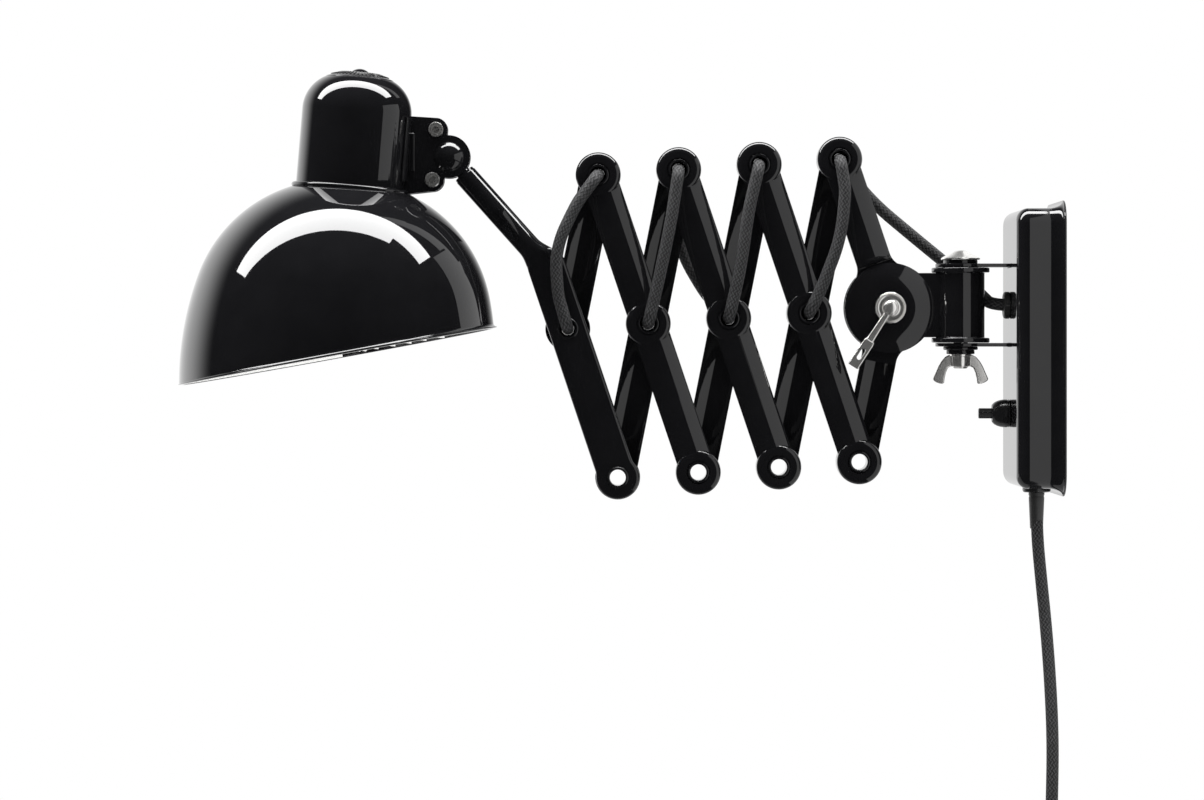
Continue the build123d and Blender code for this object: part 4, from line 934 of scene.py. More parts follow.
# outline of the flattened part, from the lowest pivot to the bend
def armOutline(run):
    half = armSizes["width"] / 2
    foot = armSizes["footRadius"]
    blend = 12.0
    reach = sqrt((foot + blend) ** 2 - (half + blend) ** 2)
    touch = degrees(atan2(half + blend, reach))
    outline = arc((0, 0), foot, touch, 360 - touch, 60)
    outline += arc((reach, -half - blend), blend, 180 - touch, 90, 8)
    outline += arc((run, 0), half, -90, 90, 32)
    outline += arc((reach, half + blend), blend, 270, 180 + touch, 8)
    return outline


# ring across the rod: flat with rounded ends at width above depth, round when equal
def rodRing(width, depth, place):
    ring = []
    count = 64
    straight = (width - depth) / 2
    for step in range(count):
        angle = 2 * pi * (step + 0.5) / count
        shift = straight if cos(angle) > 0 else -straight
        ring.append((place, shift + depth / 2 * cos(angle), depth / 2 * sin(angle)))
    return ring


def makeArm():
    run = (bendPoint - headOffset - bottomPivot[1]).length
    depth = armSizes["depth"]
    flat = slab("headArm", armOutline(run), depth)
    softened(flat, armSizes["edge"], 6, 60)
    rod = 2 * armSizes["rodRadius"]
    rings = []
    steps = 10
    for step in range(steps + 1):
        share = step / steps
        ease = share * share * (3 - 2 * share)
        width = armSizes["flatWidth"] + (rod - armSizes["flatWidth"]) * ease
        thick = depth - 0.4 + (rod - depth + 0.4) * ease
        rings.append(rodRing(max(width, thick), thick, armSizes["taper"] * share))
    rings.append(rodRing(rod, rod, armSizes["rodLength"] - armSizes["rodGap"] - 0.6))
    rings.append(rodRing(rod - 1.0, rod - 1.0, armSizes["rodLength"] - armSizes["rodGap"]))
    upper = placed(skinned("rod", rings), bendPoint, rodUp, toView)
    placed(flat, bottomPivot[1] + toView * linkage["layerGap"], frontUp, toView)
    added(flat, upper)
    for pivot in (middlePivot[1], bottomPivot[1]):
        cutter = rodForm("hole", barSizes["holeRadius"], -2, 14, 64)
        cutAway(flat, placed(cutter, pivot, toWall, toView))
    dressed(flat, "headArm", "steel", "arm", ["head_arm"], 40)


makeArm()
print("stage: head arm")


# ball joint of the head

ballSizes = {"radius": 10.0, "stud": 4.7, "collar": 7.2, "collarLength": 1.4}
ball = ballSizes["radius"]
studProfile = arc((0, 0), ball, 90, -90 + degrees(asin(ballSizes["stud"] / ball)), 40)
studTop = -armSizes["rodGap"] + ballSizes["collarLength"]
studProfile += [
    (ballSizes["stud"], studTop),
    (ballSizes["collar"] - 0.3, studTop),
    (ballSizes["collar"], studTop - 0.3),
    (ballSizes["collar"], -armSizes["rodGap"]),
    (0, -armSizes["rodGap"]),
]
ballStud = placed(spun("ballStud", studProfile, 64), ballCentre, toView, rodUp)
dressed(ballStud, "ballStud", "steel", "ball", ["ball_stud"], 40)


# head: neck cup, cap, shade

neckLean = 4.8
neckUp = lean(-neckLean)
neckFoot = ballCentre - toWall * 64.2 - up * 18.2
neckSide = neckUp.cross(toView)
shadeSizes = {
    "top": 3.3,
    "aside": 1.4,
    "bends": ((123.6, 8.6), (94.5, 74.8), (206.0, 100.0)),
    "rimLean": 10.35,
    "rimLow": Vector((-573.8, 0, -23.6)),
    "sheet": 1.2,
    "lip": 3.2,
    "lipShift": 0.75,
    "hole": 21.5,
}
shadeTop = neckFoot + neckUp * shadeSizes["top"] + neckSide * shadeSizes["aside"]
rimUp = lean(shadeSizes["rimLean"])
rimSide = rimUp.cross(toView)


# one side of the dome from its top down, moved inward by the sheet, in arcs of radius and last turn
def shadeLine(thinner):
    bends = shadeSizes["bends"]
    centre = Vector((0.0, -bends[0][0]))
    points = [centre + Vector((0.0, bends[0][0] - thinner))]
    start = 0.0
    for index, (radius, stop) in enumerate(bends):
        for step in range(1, 33):
            turn = radians(start + (stop - start) * step / 32)
            heading = Vector((sin(turn), cos(turn)))
            points.append(centre + heading * (radius - thinner))
        if index + 1 < len(bends):
            centre = centre + heading * (radius - bends[index + 1][0])
        start = stop
    return points


# where one side of the dome meets the slanting rim
def rimEnd(line, side):
    spots = [shadeTop + neckSide * side * point.x + neckUp * point.y for point in line]
    levels = [(spot - shadeSizes["rimLow"]).dot(rimUp) for spot in spots]
    last = next(index for index, level in enumerate(levels) if level < 0)
    share = levels[last - 1] / (levels[last - 1] - levels[last])
    return spots[last - 1].lerp(spots[last], share)


# flared lip along the cut, which is nearly an ellipse
def rimLip(line):
    far, near = rimEnd(line, 1), rimEnd(line, -1)
    middle = (far + near) / 2
    level = (middle - shadeTop).dot(neckUp)
    offset = (middle - shadeTop).dot(neckSide)
    reach = min(line[20:], key=lambda point: abs(point.y - level)).x
    halfLength = (far - near).length / 2
    halfWidth = sqrt(reach * reach - offset * offset)
    shift = shadeSizes["lipShift"]
    foot = halfLength - shift
    flare = shadeSizes["lip"]
    profile = [(foot - 1.2, flare), (foot - 1.2, -0.2), (foot - 0.6, -0.7), (foot + 1.6, -0.5)]
    profile += [(foot + 2.0, -0.2)] + arc((foot + flare, flare), flare, 247, 180, 10)
    lip = spun("lip", profile, 160, closed=True)
    lip.scale = (1, (halfWidth - 0.1) / foot, 1)
    return placed(moved(lip, (0, 0, 0)), middle + rimSide * shift, rimSide, rimUp)


def makeShade():
    outer = shadeLine(0)
    shade = spun("shade", outer + list(reversed(shadeLine(shadeSizes["sheet"]))), 160)
    placed(shade, shadeTop, neckSide, neckUp)
    halved(shade, shadeSizes["rimLow"] / 1000, rimUp, "inner")
    added(shade, rimLip(outer))
    cutter = rodForm("lampHole", shadeSizes["hole"], -14, 20, 64)
    cutAway(shade, placed(cutter, neckFoot, neckSide, neckUp))
    shade.data.materials.append(finishes["shade"])
    shade.data.materials.append(finishes["inside"])
    middle = (shadeTop - neckUp * 85) / 1000
    for face in shade.data.polygons:  # white lining on what faces the bulb
        level = (face.center - shadeSizes["rimLow"] / 1000).dot(rimUp)
        inward = face.normal.dot(face.center - middle) < 0
        face.material_index = 1 if inward and level > 0.0014 else 0
    dressed(shade, "shadeShell", None, "head", ["shade"], 40)
    return shade


shade = makeShade()
print("stage: shade")

neckSizes = {
    "radius": 35.8,
    "straight": 47.8,
    "top": 69.6,
    "topRadius": 22.4,
    "bead": 38.7,
    "beadLevels": (-4.2, -0.8),
    "skirt": 20.0,
}


# arc that leaves (x0, y0) upright and ends at (x1, y1)
def uprightArc(x0, y0, x1, y1, steps):
    radius = ((x1 - x0) ** 2 + (y1 - y0) ** 2) / (2 * (x0 - x1))
    stop = degrees(asin((y1 - y0) / radius))
    if x0 - radius > x1:
        stop = 180 - stop
    return arc((x0 - radius, y0), radius, 0, stop, steps)


def makeNeck():
    radius = neckSizes["radius"]
    low, high = neckSizes["beadLevels"]
    bead = (high - low) / 2
    profile = [(radius, -neckSizes["skirt"]), (radius, low - 0.2)]
    profile += arc((neckSizes["bead"] - bead, low + bead), bead, -80, 80, 12)
    profile += [(radius, high + 0.2)]
    profile += uprightArc(
        radius, neckSizes["straight"], neckSizes["topRadius"], neckSizes["top"], 28
    )
    profile += [(0, neckSizes["top"])]
    neck = placed(spun("neck", profile, 128), neckFoot, neckSide, neckUp)
    reach = shade.matrix_world.inverted()
    for vertex in neck.data.vertices:  # the foot follows the shade's skin
        height = (vertex.co - neckFoot * 0.001).dot(neckUp)
        if height < -0.019:
            start = vertex.co + neckUp * 0.04
            found, spot, normal, face = shade.ray_cast(reach @ start, -neckUp)
            if found:
                vertex.co = spot - neckUp * 0.0004
    dressed(neck, "neckCup", "shade", "head", ["neck_cup"], 40)


makeNeck()

capSizes = {
    "radius": 22.2,
    "edge": 0.3,
    "flat": 9.5,
    "height": 4.0,
    "knob": (6.2, 2.6),
    "ribs": 44,
    "rib": (6.6, 0.9, 1.0),
}


# low dome with a ring of ribs on its slope and a knob in the middle
def makeCap():
    radius, edge = capSizes["radius"], capSizes["edge"]
    flat, height = capSizes["flat"], capSizes["height"]
    knob, rise = capSizes["knob"]
    profile = [(0, -0.4), (radius, -0.4), (radius, edge)]
    for step in range(1, 11):
        share = step / 10
        bulge = 2.0 * share * (1 - share)
        profile.append((radius + (flat - radius) * share, edge + (height - edge) * share + bulge))
    profile.append((knob, height))
    profile += list(reversed(levelArc(0, height + rise, knob, height, 10)))[1:]
    cap = spun("cap", profile, 96)
    slope = atan2(height - edge, radius - flat)
    middle, level = (radius + flat) / 2, (height + edge) / 2 + 0.45
    joined(cap, blockRing(capSizes["ribs"], middle, level, (0, slope), capSizes["rib"]))
    softened(cap, 0.2, 2, 40)
    placed(cap, neckFoot + neckUp * neckSizes["top"], neckSide, neckUp)
    dressed(cap, "neckCap", "shade", "head", ["neck_cap"], 40)


makeCap()
print("stage: neck")


# clamp shells on the neck

shellSizes = {
    "inner": 5.0,
    "sheet": 1.6,
    "dome": 11.8,
    "hollow": 10.3,
    "boss": 14.0,
    "lobe": 7.6,
    "upperScrew": (-8.3, 17.7),
    "lowerScrew": (-10.6, -15.1),
    "back": 31.0,
    "top": 26.5,
    "bottom": -24.5,
    "saddle": (1.5, 14.5, 4.4, 46.8),
    "tab": (-26.8, -22.1, -9.7, 15.5),
    "groove": (-25.0, -23.9, -7.5, 13.4),
}


# shell outline wrapped round its corner circles, in x and z beside the ball
def shellPlate():
    lobe = shellSizes["lobe"]
    corner = lobe / 2
    rings = [
        (shellSizes["upperScrew"], lobe),
        (shellSizes["lowerScrew"], lobe),
        ((-shellSizes["back"] + corner, shellSizes["top"] - corner), corner),
        ((-shellSizes["back"] + corner, shellSizes["bottom"] + corner), corner),
    ]
    points = []
    for height in (0, shellSizes["sheet"]):
        for centre, radius in rings:
            points += [(x, y, height) for x, y in arc(centre, radius, 0, 350, 35)]
    plate = meshObject("plate", points, [], [])
    editAll(plate)
    bpy.ops.mesh.convex_hull()
    bpy.ops.mesh.select_all(action="SELECT")
    bpy.ops.mesh.dissolve_limited(angle_limit=radians(0.5))
    closeEdit()
    return plate


# the small open tab beside the neck, bent out of the plate
def shellTab():
    forms = []
    for name, low in (("tab", 1.2), ("groove", 2.7)):
        left, right, foot, top = shellSizes[name]
        forms.append(slab(name, [(left, foot), (right, foot), (right, top), (left, top)], 2.0, low))
        if name == "tab":
            softened(forms[0], 0.9, 3, 60)
    return cutAway(*forms)


def saddle(side):
    sheet, reach, low, high = shellSizes["saddle"]
    radius = neckSizes["radius"]
    start = degrees(asin((shellSizes["inner"] + 0.2) / radius)) * side
    stop = degrees(asin(reach / radius)) * side
    outline = arc((0, 0), radius - 0.1, start, stop, 10)
    outline += arc((0, 0), radius + sheet, stop, start, 10)
    piece = slab("saddle", outline, high - low, low)
    softened(piece, 0.5, 2, 50)
    # local x towards the ball, local y to the viewer on the front shell
    return placed(piece, neckFoot, neckSide, neckUp)


def clampShell(name, outward, node):
    plate = shellPlate()
    added(plate, rodForm("boss", shellSizes["boss"], 0, shellSizes["sheet"], 96))
    inner = shellSizes["inner"]
    dome = shellSizes["dome"]
    rim = sqrt(dome * dome - inner * inner)
    profile = arc((0, -inner), dome, 90, degrees(acos(rim / dome)), 24)
    added(plate, spun("dome", profile + [(0, 0)], 96))
    cutAway(plate, spun("hollow", arc((0, -inner), shellSizes["hollow"], 90, -90, 32), 64))
    softened(plate, 0.5, 3, 40)
    if outward.y < 0:
        added(plate, shellTab())
    else:
        editAll(plate)
        bpy.ops.transform.mirror(constraint_axis=(False, True, False), center_override=(0, 0, 0))
        bpy.ops.mesh.flip_normals()
        leaveEdit()
    placed(plate, ballCentre + outward * inner, toWall, outward)
    editAll(plate)
    closeEdit()
    neckCore = rodForm("core", neckSizes["radius"] - 0.4, -22, 66, 128)
    cutAway(plate, placed(neckCore, neckFoot, neckSide, neckUp))
    joined(plate, saddle(1 if outward.y < 0 else -1))
    dressed(plate, name, "steel", "head", [node], 40)


clampShell("clampShellFront", toView, "clamp_shell_front")
clampShell("clampShellRear", toRear, "clamp_shell_rear")


# cap screw with a six-sided socket, and its nut behind
def shellScrews():
    outer = shellSizes["inner"] + shellSizes["sheet"]
    made = []
    for across, rise in (shellSizes["upperScrew"], shellSizes["lowerScrew"]):
        head = spun(
            "head",
            [(0, outer), (4.9, outer), (4.9, outer + 1.9), (4.4, outer + 2.6), (0, outer + 2.6)],
            48,
        )
        socket = arc((0, 0), 2.5, 20, 320, 5)
        cutAway(head, slab("socket", socket, 3.0, outer + 1.0))
        ring = spun(
            "ring",
            [(3.4, outer + 2.2), (3.7, outer + 2.2), (3.7, outer + 3.0), (3.4, outer + 3.0)],
            48,
            closed=True,
        )
        cutAway(head, ring)
        softened(head, 0.25, 2, 35)
        nut = slab("nut", arc((0, 0), 3.6, 0, 300, 5), 2.4, -outer - 2.4)
        softened(nut, 0.3, 2, 35)
        shank = spun("shank", [(0, -outer - 3.2), (2, -outer - 3.2), (2, outer), (0, outer)], 24)
        joined(head, nut, shank)
        made.append(placed(head, ballCentre + toWall * across + up * rise, toWall, toView))
    joined(made[0], made[1])
    dressed(made[0], "shellScrews", "nickel", "head", ["shell_screws"], 35)


shellScrews()
print("stage: clamp shells")


# wall hinge: barrel, friction discs with lugs, bracket, bolt and wing nut

hingeSizes = {
    "barrel": 15.75,
    "half": 21.3,
    "flange": (19.0, 3.2),
    "gap": 0.2,
    "strap": (13.0, 16.5, 2.4),
    "back": 29.8,
}
barrelHalf = hingeSizes["half"]
flangeRadius, flangeDepth = hingeSizes["flange"]
strapLow = barrelHalf + flangeDepth + hingeSizes["gap"]
strapHigh = strapLow + hingeSizes["strap"][2]


def makeBarrel():
    radius = hingeSizes["barrel"]
    inside = radius - 4.0
    high = barrelHalf + flangeDepth
    profile = [(inside, -high), (flangeRadius - 0.8, -high)]
    profile += arc((flangeRadius - 0.8, -high + 0.8), 0.8, -80, 0, 4)
    profile += arc((flangeRadius - 0.8, -barrelHalf - 0.8), 0.8, 0, 80, 4)
    profile += arc((radius + 0.8, -barrelHalf + 0.8), 0.8, 260, 180, 4)
    profile += arc((radius + 0.8, barrelHalf - 0.8), 0.8, 180, 100, 4)
    profile += arc((flangeRadius - 0.8, barrelHalf + 0.8), 0.8, -80, 0, 4)
    profile += arc((flangeRadius - 0.8, high - 0.8), 0.8, 0, 80, 4)
    profile += [(inside, high)]
    barrel = spun("barrel", profile, 96, closed=True)
    placed(barrel, hingeAxis, toWall, up)
    dressed(barrel, "hingeBarrel", "steel", "hinge", ["hinge_barrel"])


makeBarrel()

cheekSizes = {
    "inner": 4.95,
    "radius": 29.5,
    "flat": 15.0,
    "rise": 6.5,
    "rim": 2.0,
    "sheet": 1.6,
    "lug": 2.4,
    "lugRoot": 18.3,
    "window": 27.0,
    "bolt": 4.06,
}


def hingeCheek(name, outward, node):
    radius, rise, rim, sheet = (cheekSizes[key] for key in ("radius", "rise", "rim", "sheet"))
    outer = list(reversed(levelArc(cheekSizes["flat"], rise, radius, rim, 20)))
    inside = levelArc(cheekSizes["flat"], rise - sheet, radius - sheet, rim - sheet + 0.6, 20)
    bolt = cheekSizes["bolt"]
    profile = [(radius - sheet, 0.0), (radius - 0.5, 0.0), (radius, 0.5)] + outer
    profile += [(bolt, rise), (bolt, rise - sheet)] + inside
    cheek = spun("cheek", profile, 128, closed=True)
    placed(cheek, discAxis + outward * cheekSizes["inner"], toWall, outward)
    half = barrelHalf - 0.3
    near = hingeAxis.x - discAxis.x - hingeSizes["barrel"] + 1.2
    start = cheekSizes["lugRoot"]
    shift = hingeAxis.z - discAxis.z
    outline = [(start, -half), (near + 3, -half), (near + 3, half), (start, half)]
    plate = softened(slab("lug", outline, cheekSizes["lug"]), 0.5, 2, 60)
    placed(plate, discAxis + outward * cheekSizes["inner"] + up * shift, toWall, outward)
    window = rodForm("window", cheekSizes["window"], -1, 2, 96)
    placed(window, discAxis + outward * cheekSizes["inner"], toWall, outward)
    core = placed(rodForm("core", hingeSizes["barrel"] - 0.6, -40, 40, 96), hingeAxis, toWall, up)
    cutAway(plate, window, core)
    added(cheek, plate)
    dressed(cheek, name, "steel", "hinge", [node], 38)


hingeCheek("hingeCheekFront", toView, "hinge_cheek_front")
hingeCheek("hingeCheekRear", toRear, "hinge_cheek_rear")


def hingeBracket():
    half, endRadius, thick = hingeSizes["strap"]
    run = -hingeAxis.x - hingeSizes["back"]
    turn = degrees(asin(half / endRadius))
    made = []
    for side in (1, -1):
        outline = arc((0, 0), endRadius, turn, 360 - turn, 64)
        outline += [(run, -half), (run, half)]
        strap = slab("strap", outline, thick, strapLow if side > 0 else -strapHigh)
        softened(strap, 0.5, 2, 60)
        made.append(placed(strap, hingeAxis, toWall, up))
    outline = [(-half, -strapHigh), (half, -strapHigh), (half, strapHigh), (-half, strapHigh)]
    back = slab("back", outline, 2.2)
    placed(back, Vector((-hingeSizes["back"], 0, hingeAxis.z)), toRear, toWall)
    joined(made[0], made[1], back)
    dressed(made[0], "hingeBracket", "steel", "wall", ["hinge_bracket"], 40)


hingeBracket()

boltSizes = {
    "washer": (11.2, 2.6),
    "head": (12.8, 1.6, 6.4),
    "lower": (11.4, 2.2),
    "lock": (9.2, 2.7),
    "teeth": 24,
    "bore": 5.06,
}


def hingeBolt():
    washerHigh = boltSizes["washer"][1]
    radius, rim, height = boltSizes["head"]
    foot = strapHigh + washerHigh
    low = strapHigh + boltSizes["lower"][1] + boltSizes["lock"][1] + 9.4
    profile = [(0, -low), (4.2, -low), (5, -low + 0.8), (5, foot), (radius - 0.4, foot)]
    profile += [(radius, foot + 0.4), (radius, foot + rim * 0.7), (radius - 0.6, foot + rim)]
    cone = [(radius - 0.6 - step * 1.2, foot + rim + step * 0.62) for step in range(1, 7)]
    profile += cone
    lastRadius, lastHeight = cone[-1]
    profile += list(reversed(levelArc(0, foot + height, lastRadius, lastHeight, 8)))
    bolt = placed(spun("bolt", profile, 96), hingeAxis, toWall, up)
    dressed(bolt, "hingeBolt", "nickel", "wall", ["hinge_bolt"], 30)


hingeBolt()


# washer with rounded rims between two heights
def washer(name, radius, low, high, rim=0.5):
    bore = boltSizes["bore"]
    profile = [(bore, low), (radius - rim, low)]
    profile += arc((radius - rim, low + rim), rim, -80, 0, 4)
    profile += arc((radius - rim, high - rim), rim, 0, 80, 4)
    profile += [(radius - rim, high), (bore, high)]
    return spun(name, profile, 72, closed=True)


def hingeWashers():
    lowerRadius, lowerHigh = boltSizes["lower"]
    lockRadius, lockHigh = boltSizes["lock"]
    top = washer("top", boltSizes["washer"][0], strapHigh, strapHigh + boltSizes["washer"][1])
    lower = washer("lower", lowerRadius, -strapHigh - lowerHigh, -strapHigh, rim=0.8)
    foot = -strapHigh - lowerHigh - lockHigh
    lock = washer("lock", lockRadius, foot, -strapHigh - lowerHigh, rim=0.5)
    tooth = (0.7, 0.7, lockHigh + 1)
    level = foot + lockHigh / 2
    cutAway(lock, blockRing(boltSizes["teeth"], lockRadius, level, (0.5, 0), tooth))
    joined(top, lower, lock)
    placed(top, hingeAxis, toWall, up)
    dressed(top, "hingeWashers", "steel", "wall", ["hinge_washers"], 35)


hingeWashers()

wingSizes = {"hubTop": 7.3, "hubFoot": 6.1, "hubHeight": 8.2, "thickness": 2.6}
wingTop = -strapHigh - boltSizes["lower"][1] - boltSizes["lock"][1]


def wingNut():
    top, foot, height = wingSizes["hubTop"], wingSizes["hubFoot"], wingSizes["hubHeight"]
    bore = boltSizes["bore"]
    profile = [(bore, 0), (top, 0), (top, -1.2), (top - 0.5, -1.8), (foot + 0.4, -height + 0.6)]
    profile += [(foot, -height), (bore, -height)]
    nut = spun("nut", profile, 64, closed=True)
    softened(nut, 0.2, 2, 30)
    outline = [(5.6, -0.6), (7.6, -0.5), (10.2, -1.8), (12.6, -4.6), (14.6, -8.0), (16.4, -12.2)]
    outline += [(17.7, -15.0), (18.1, -16.2), (17.6, -17.4), (15.8, -18.6), (13.4, -19.4)]
    outline += [(11.6, -19.5), (10.8, -18.9), (10.4, -15.8), (9.6, -12.2), (8.2, -9.0), (5.6, -7.8)]
    wings = []
    for turn in (0, 180):
        wing = slab("wing", outline, wingSizes["thickness"], -wingSizes["thickness"] / 2)
        softened(wing, 0.8, 4, 50)
        wing.rotation_euler = (radians(90), 0, radians(turn))
        wings.append(moved(wing, (0, 0, 0)))
    added(nut, *wings)
    placed(nut, hingeAxis + up * wingTop, toWall, up)
    dressed(nut, "wingNut", "nickel", "wing", ["wing_nut"], 30)


wingNut()
print("stage: hinge")


# clamp through the discs, with its lever

clampSizes = {"face": 11.45, "hub": 14.51, "hubRadius": 5.0, "hubHeight": 5.6, "angle": 32.9}


def clampBolt():
    tip = clampSizes["hub"] + clampSizes["hubHeight"] + 0.8
    low = -clampSizes["face"] - 0.06
    profile = [(0, tip), (2.6, tip), (3.4, tip - 0.3), (4, tip - 1.1), (4, low), (7.6, low)]
    profile += [(8, low - 0.4), (8, low - 2.3)]
    profile += [(x, 2 * low - 4.6 - y) for x, y in reversed(levelArc(0, low, 8, low - 2.3, 10))]
    bolt = placed(spun("bolt", profile, 64), discAxis, toWall, toView)
    dressed(bolt, "clampBolt", "nickel", "clamp", ["clamp_bolt"], 30)


clampBolt()


def clampWasher():
    face = clampSizes["face"] + 0.06
    profile = [(4.06, face), (9.2, face), (10.0, face + 0.4), (10.2, face + 1.2)]
    profile += arc((9.6, face + 2.0), 0.6, 0, 180, 8)
    profile += [(8.7, face + 1.5), (7.4, face + 1.1), (5.6, face + 1.4), (5.0, face + 2.2)]
    profile += [(4.8, face + 3.0), (4.06, face + 3.0)]
    cup = placed(spun("cup", profile, 96, closed=True), discAxis, toWall, toView)
    dressed(cup, "clampWasher", "nickel", "clamp", ["clamp_washer"], 35)


clampWasher()


def clampLever():
    hub = clampSizes["hub"]
    radius, height = clampSizes["hubRadius"], clampSizes["hubHeight"]
    profile = [(4.06, 0), (radius, 0), (radius, height - 1.4)]
    profile += arc((radius - 1.2, height - 1.2), 1.2, 0, 90, 6) + [(4.06, height)]
    lever = spun("hub", profile, 48, closed=True)
    stem = slab("stem", [(3.9, -1.9), (27, -2.4), (27, 2.4), (3.9, 1.9)], 3.0, 0.9)
    softened(stem, 0.8, 3, 60)
    grip = slab("grip", [(25.2, -3.4), (27.5, -3.7), (45.6, -3.7), (45.6, 3.7), (27.5, 3.7),
                         (25.2, 3.4)], 3.4, 0.8)
    softened(grip, 0.7, 3, 60)
    slot = arc((33.4, 0), 1.5, 90, 270, 8) + arc((38.6, 0), 1.5, -90, 90, 8)
    added(lever, stem, grip)
    cutAway(lever, slab("slot", slot, 9, -2))
    along = Vector((-sin(radians(clampSizes["angle"])), 0, -cos(radians(clampSizes["angle"]))))
    placed(lever, discAxis + toView * hub, along, toView)
    dressed(lever, "clampLever", "nickel", "lever", ["clamp_lever"], 35)


clampLever()
print("stage: clamp")


# wall box

boxSizes = {
    "width": 95.0,
    "height": 181.0,
    "depth": 31.0,
    "corner": 10.0,
    "edge": 8.0,
    "wall": 1.2,
    "reach": 5.0,
    "sheet": 1.2,
    "flare": (4.4, 9.0),
    "switchDrop": 42.5,
    "gland": 13.4,
}


# rounded rectangle across the box at one depth, grown or shrunk all round
def boxRing(grow, depth):
    halfWidth = boxSizes["width"] / 2 + grow
    halfHeight = boxSizes["height"] / 2 + grow
    corner = max(boxSizes["corner"] + grow, 0.6)
    ring = []
    for signY, signZ, start in ((1, 1, 0), (-1, 1, 90), (-1, -1, 180), (1, -1, 270)):
        centre = (signY * (halfWidth - corner), signZ * (halfHeight - corner))
        ring += [(-depth, y, z) for y, z in arc(centre, corner, start, start + 90, 10)]
    return ring


def wallBox():
    depth, edge, wall = boxSizes["depth"], boxSizes["edge"], boxSizes["wall"]
    reach, sheet, flare = boxSizes["reach"], boxSizes["sheet"], boxSizes["flare"]
    rings = []
    inner = edge - wall
    for step in range(9):  # inside, from the front back to the wall
        angle = radians(90 - step * 90 / 8)
        rings.append(boxRing(-wall - inner + inner * cos(angle), depth - edge + inner * sin(angle)))
    rings.append(boxRing(-wall, 0.0))
    rings.append(boxRing(reach - 0.3, 0.0))
    rings.append(boxRing(reach, 0.3))
    rings.append(boxRing(reach, sheet - 0.3))
    rings.append(boxRing(reach - 0.3, sheet))
    for step in range(9):  # the foot flares out of the side
        angle = radians(90 * step / 8)
        rings.append(boxRing(flare[0] * (1 - sin(angle)), sheet + flare[1] * (1 - cos(angle))))
    for step in range(13):
        angle = radians(step * 90 / 12)
        rings.append(boxRing(-edge + edge * cos(angle), depth - edge + edge * sin(angle)))
    box = placed(skinned("wallBox", rings), Vector((0, 0, 0)), toWall, up)
    for place, radius in (
        (Vector((-depth - 2, 0, hingeAxis.z)), 6.0),
        (Vector((-depth - 2, 0, -boxSizes["switchDrop"])), 5.06),
    ):
        cutAway(box, placed(rodForm("hole", radius, 0, 6, 48), place, toRear, toWall))
    cutter = rodForm("hole", 6.0, -4, 4, 48)
    foot = Vector((-boxSizes["gland"], 0, -boxSizes["height"] / 2))
    cutAway(box, placed(cutter, foot, toWall, up))
    for side in (1, -1):
        level = hingeAxis.z + side * (strapLow + strapHigh) / 2
        slot = slab("slot", [(-13.2, -1.4), (13.2, -1.4), (13.2, 1.4), (-13.2, 1.4)], 6)
        cutAway(box, placed(slot, Vector((-depth - 2, 0, level)), toRear, toWall))
    dressed(box, "wallBox", "steel", "wall", ["wall_box"], 30)


wallBox()


grommetSizes = {"flutes": 24, "fluteRadius": 0.55, "fluteReach": 9.2}


def boxGrommet():
    profile = [(4.06, -1.2), (7.5, -3.2), (7.5, -1.2), (6.0, -1.2), (6.0, 0), (8.2, 0)]
    profile += [(8.85, 0.6), (8.85, 2.2)]
    profile += arc((7.0, 2.4), 1.9, 10, 80, 6)
    profile += [(5.4, 4.4), (4.06, 4.1)]
    grommet = spun("grommet", profile, 72, closed=True)
    count, reach = grommetSizes["flutes"], grommetSizes["fluteReach"]
    flutes = [
        primitive(
            bpy.ops.mesh.primitive_cylinder_add,
            vertices=10,
            radius=grommetSizes["fluteRadius"],
            depth=8,
            location=(reach * cos(angle), reach * sin(angle), 2.0),
        )
        for angle in (2 * pi * step / count for step in range(count))
    ]
    cutAway(grommet, joined(flutes[0], *flutes[1:]))
    placed(grommet, Vector((-boxSizes["depth"], 0, hingeAxis.z)), toRear, toWall * -1)
    dressed(grommet, "boxGrommet", "rubber", "wall", ["box_grommet"], 30)


boxGrommet()
switchPlace = Vector((-boxSizes["depth"], 0, -boxSizes["switchDrop"]))


def pushSwitch():
    profile = [(3.48, 0), (8.4, 0), (9.1, 0.5), (9.1, 1.1), (8.7, 1.4), (9.15, 1.9), (9.15, 3.2)]
    profile += [(9.05, 4.6), (8.75, 6.4), (8.2, 8.2), (7.4, 9.8), (6.7, 10.7), (6.1, 11.3)]
    profile += [(5.6, 11.7), (3.48, 11.7)]
    collar = placed(spun("collar", profile, 96, closed=True), switchPlace, toRear, toWall * -1)
    dressed(collar, "switchCollar", "plastic", "wall", ["switch_collar"], 30)
    outline = []
    for step in range(36):
        radius = 3.4 if step % 2 else 3.0
        angle = 2 * pi * step / 36
        outline.append((radius * cos(angle), radius * sin(angle)))
    button = slab("button", outline, 22.3, -2.2)
    softened(button, 0.12, 2, 25)
    cap = spun("cap", [(0, 19.9), (2.9, 19.9), (3.2, 20.2), (2.8, 20.5), (0, 20.5)], 48)
    joined(button, cap)
    placed(button, switchPlace, toRear, toWall * -1)
    dressed(button, "switchButton", "plastic", "button", ["switch_button"], 25)


pushSwitch()


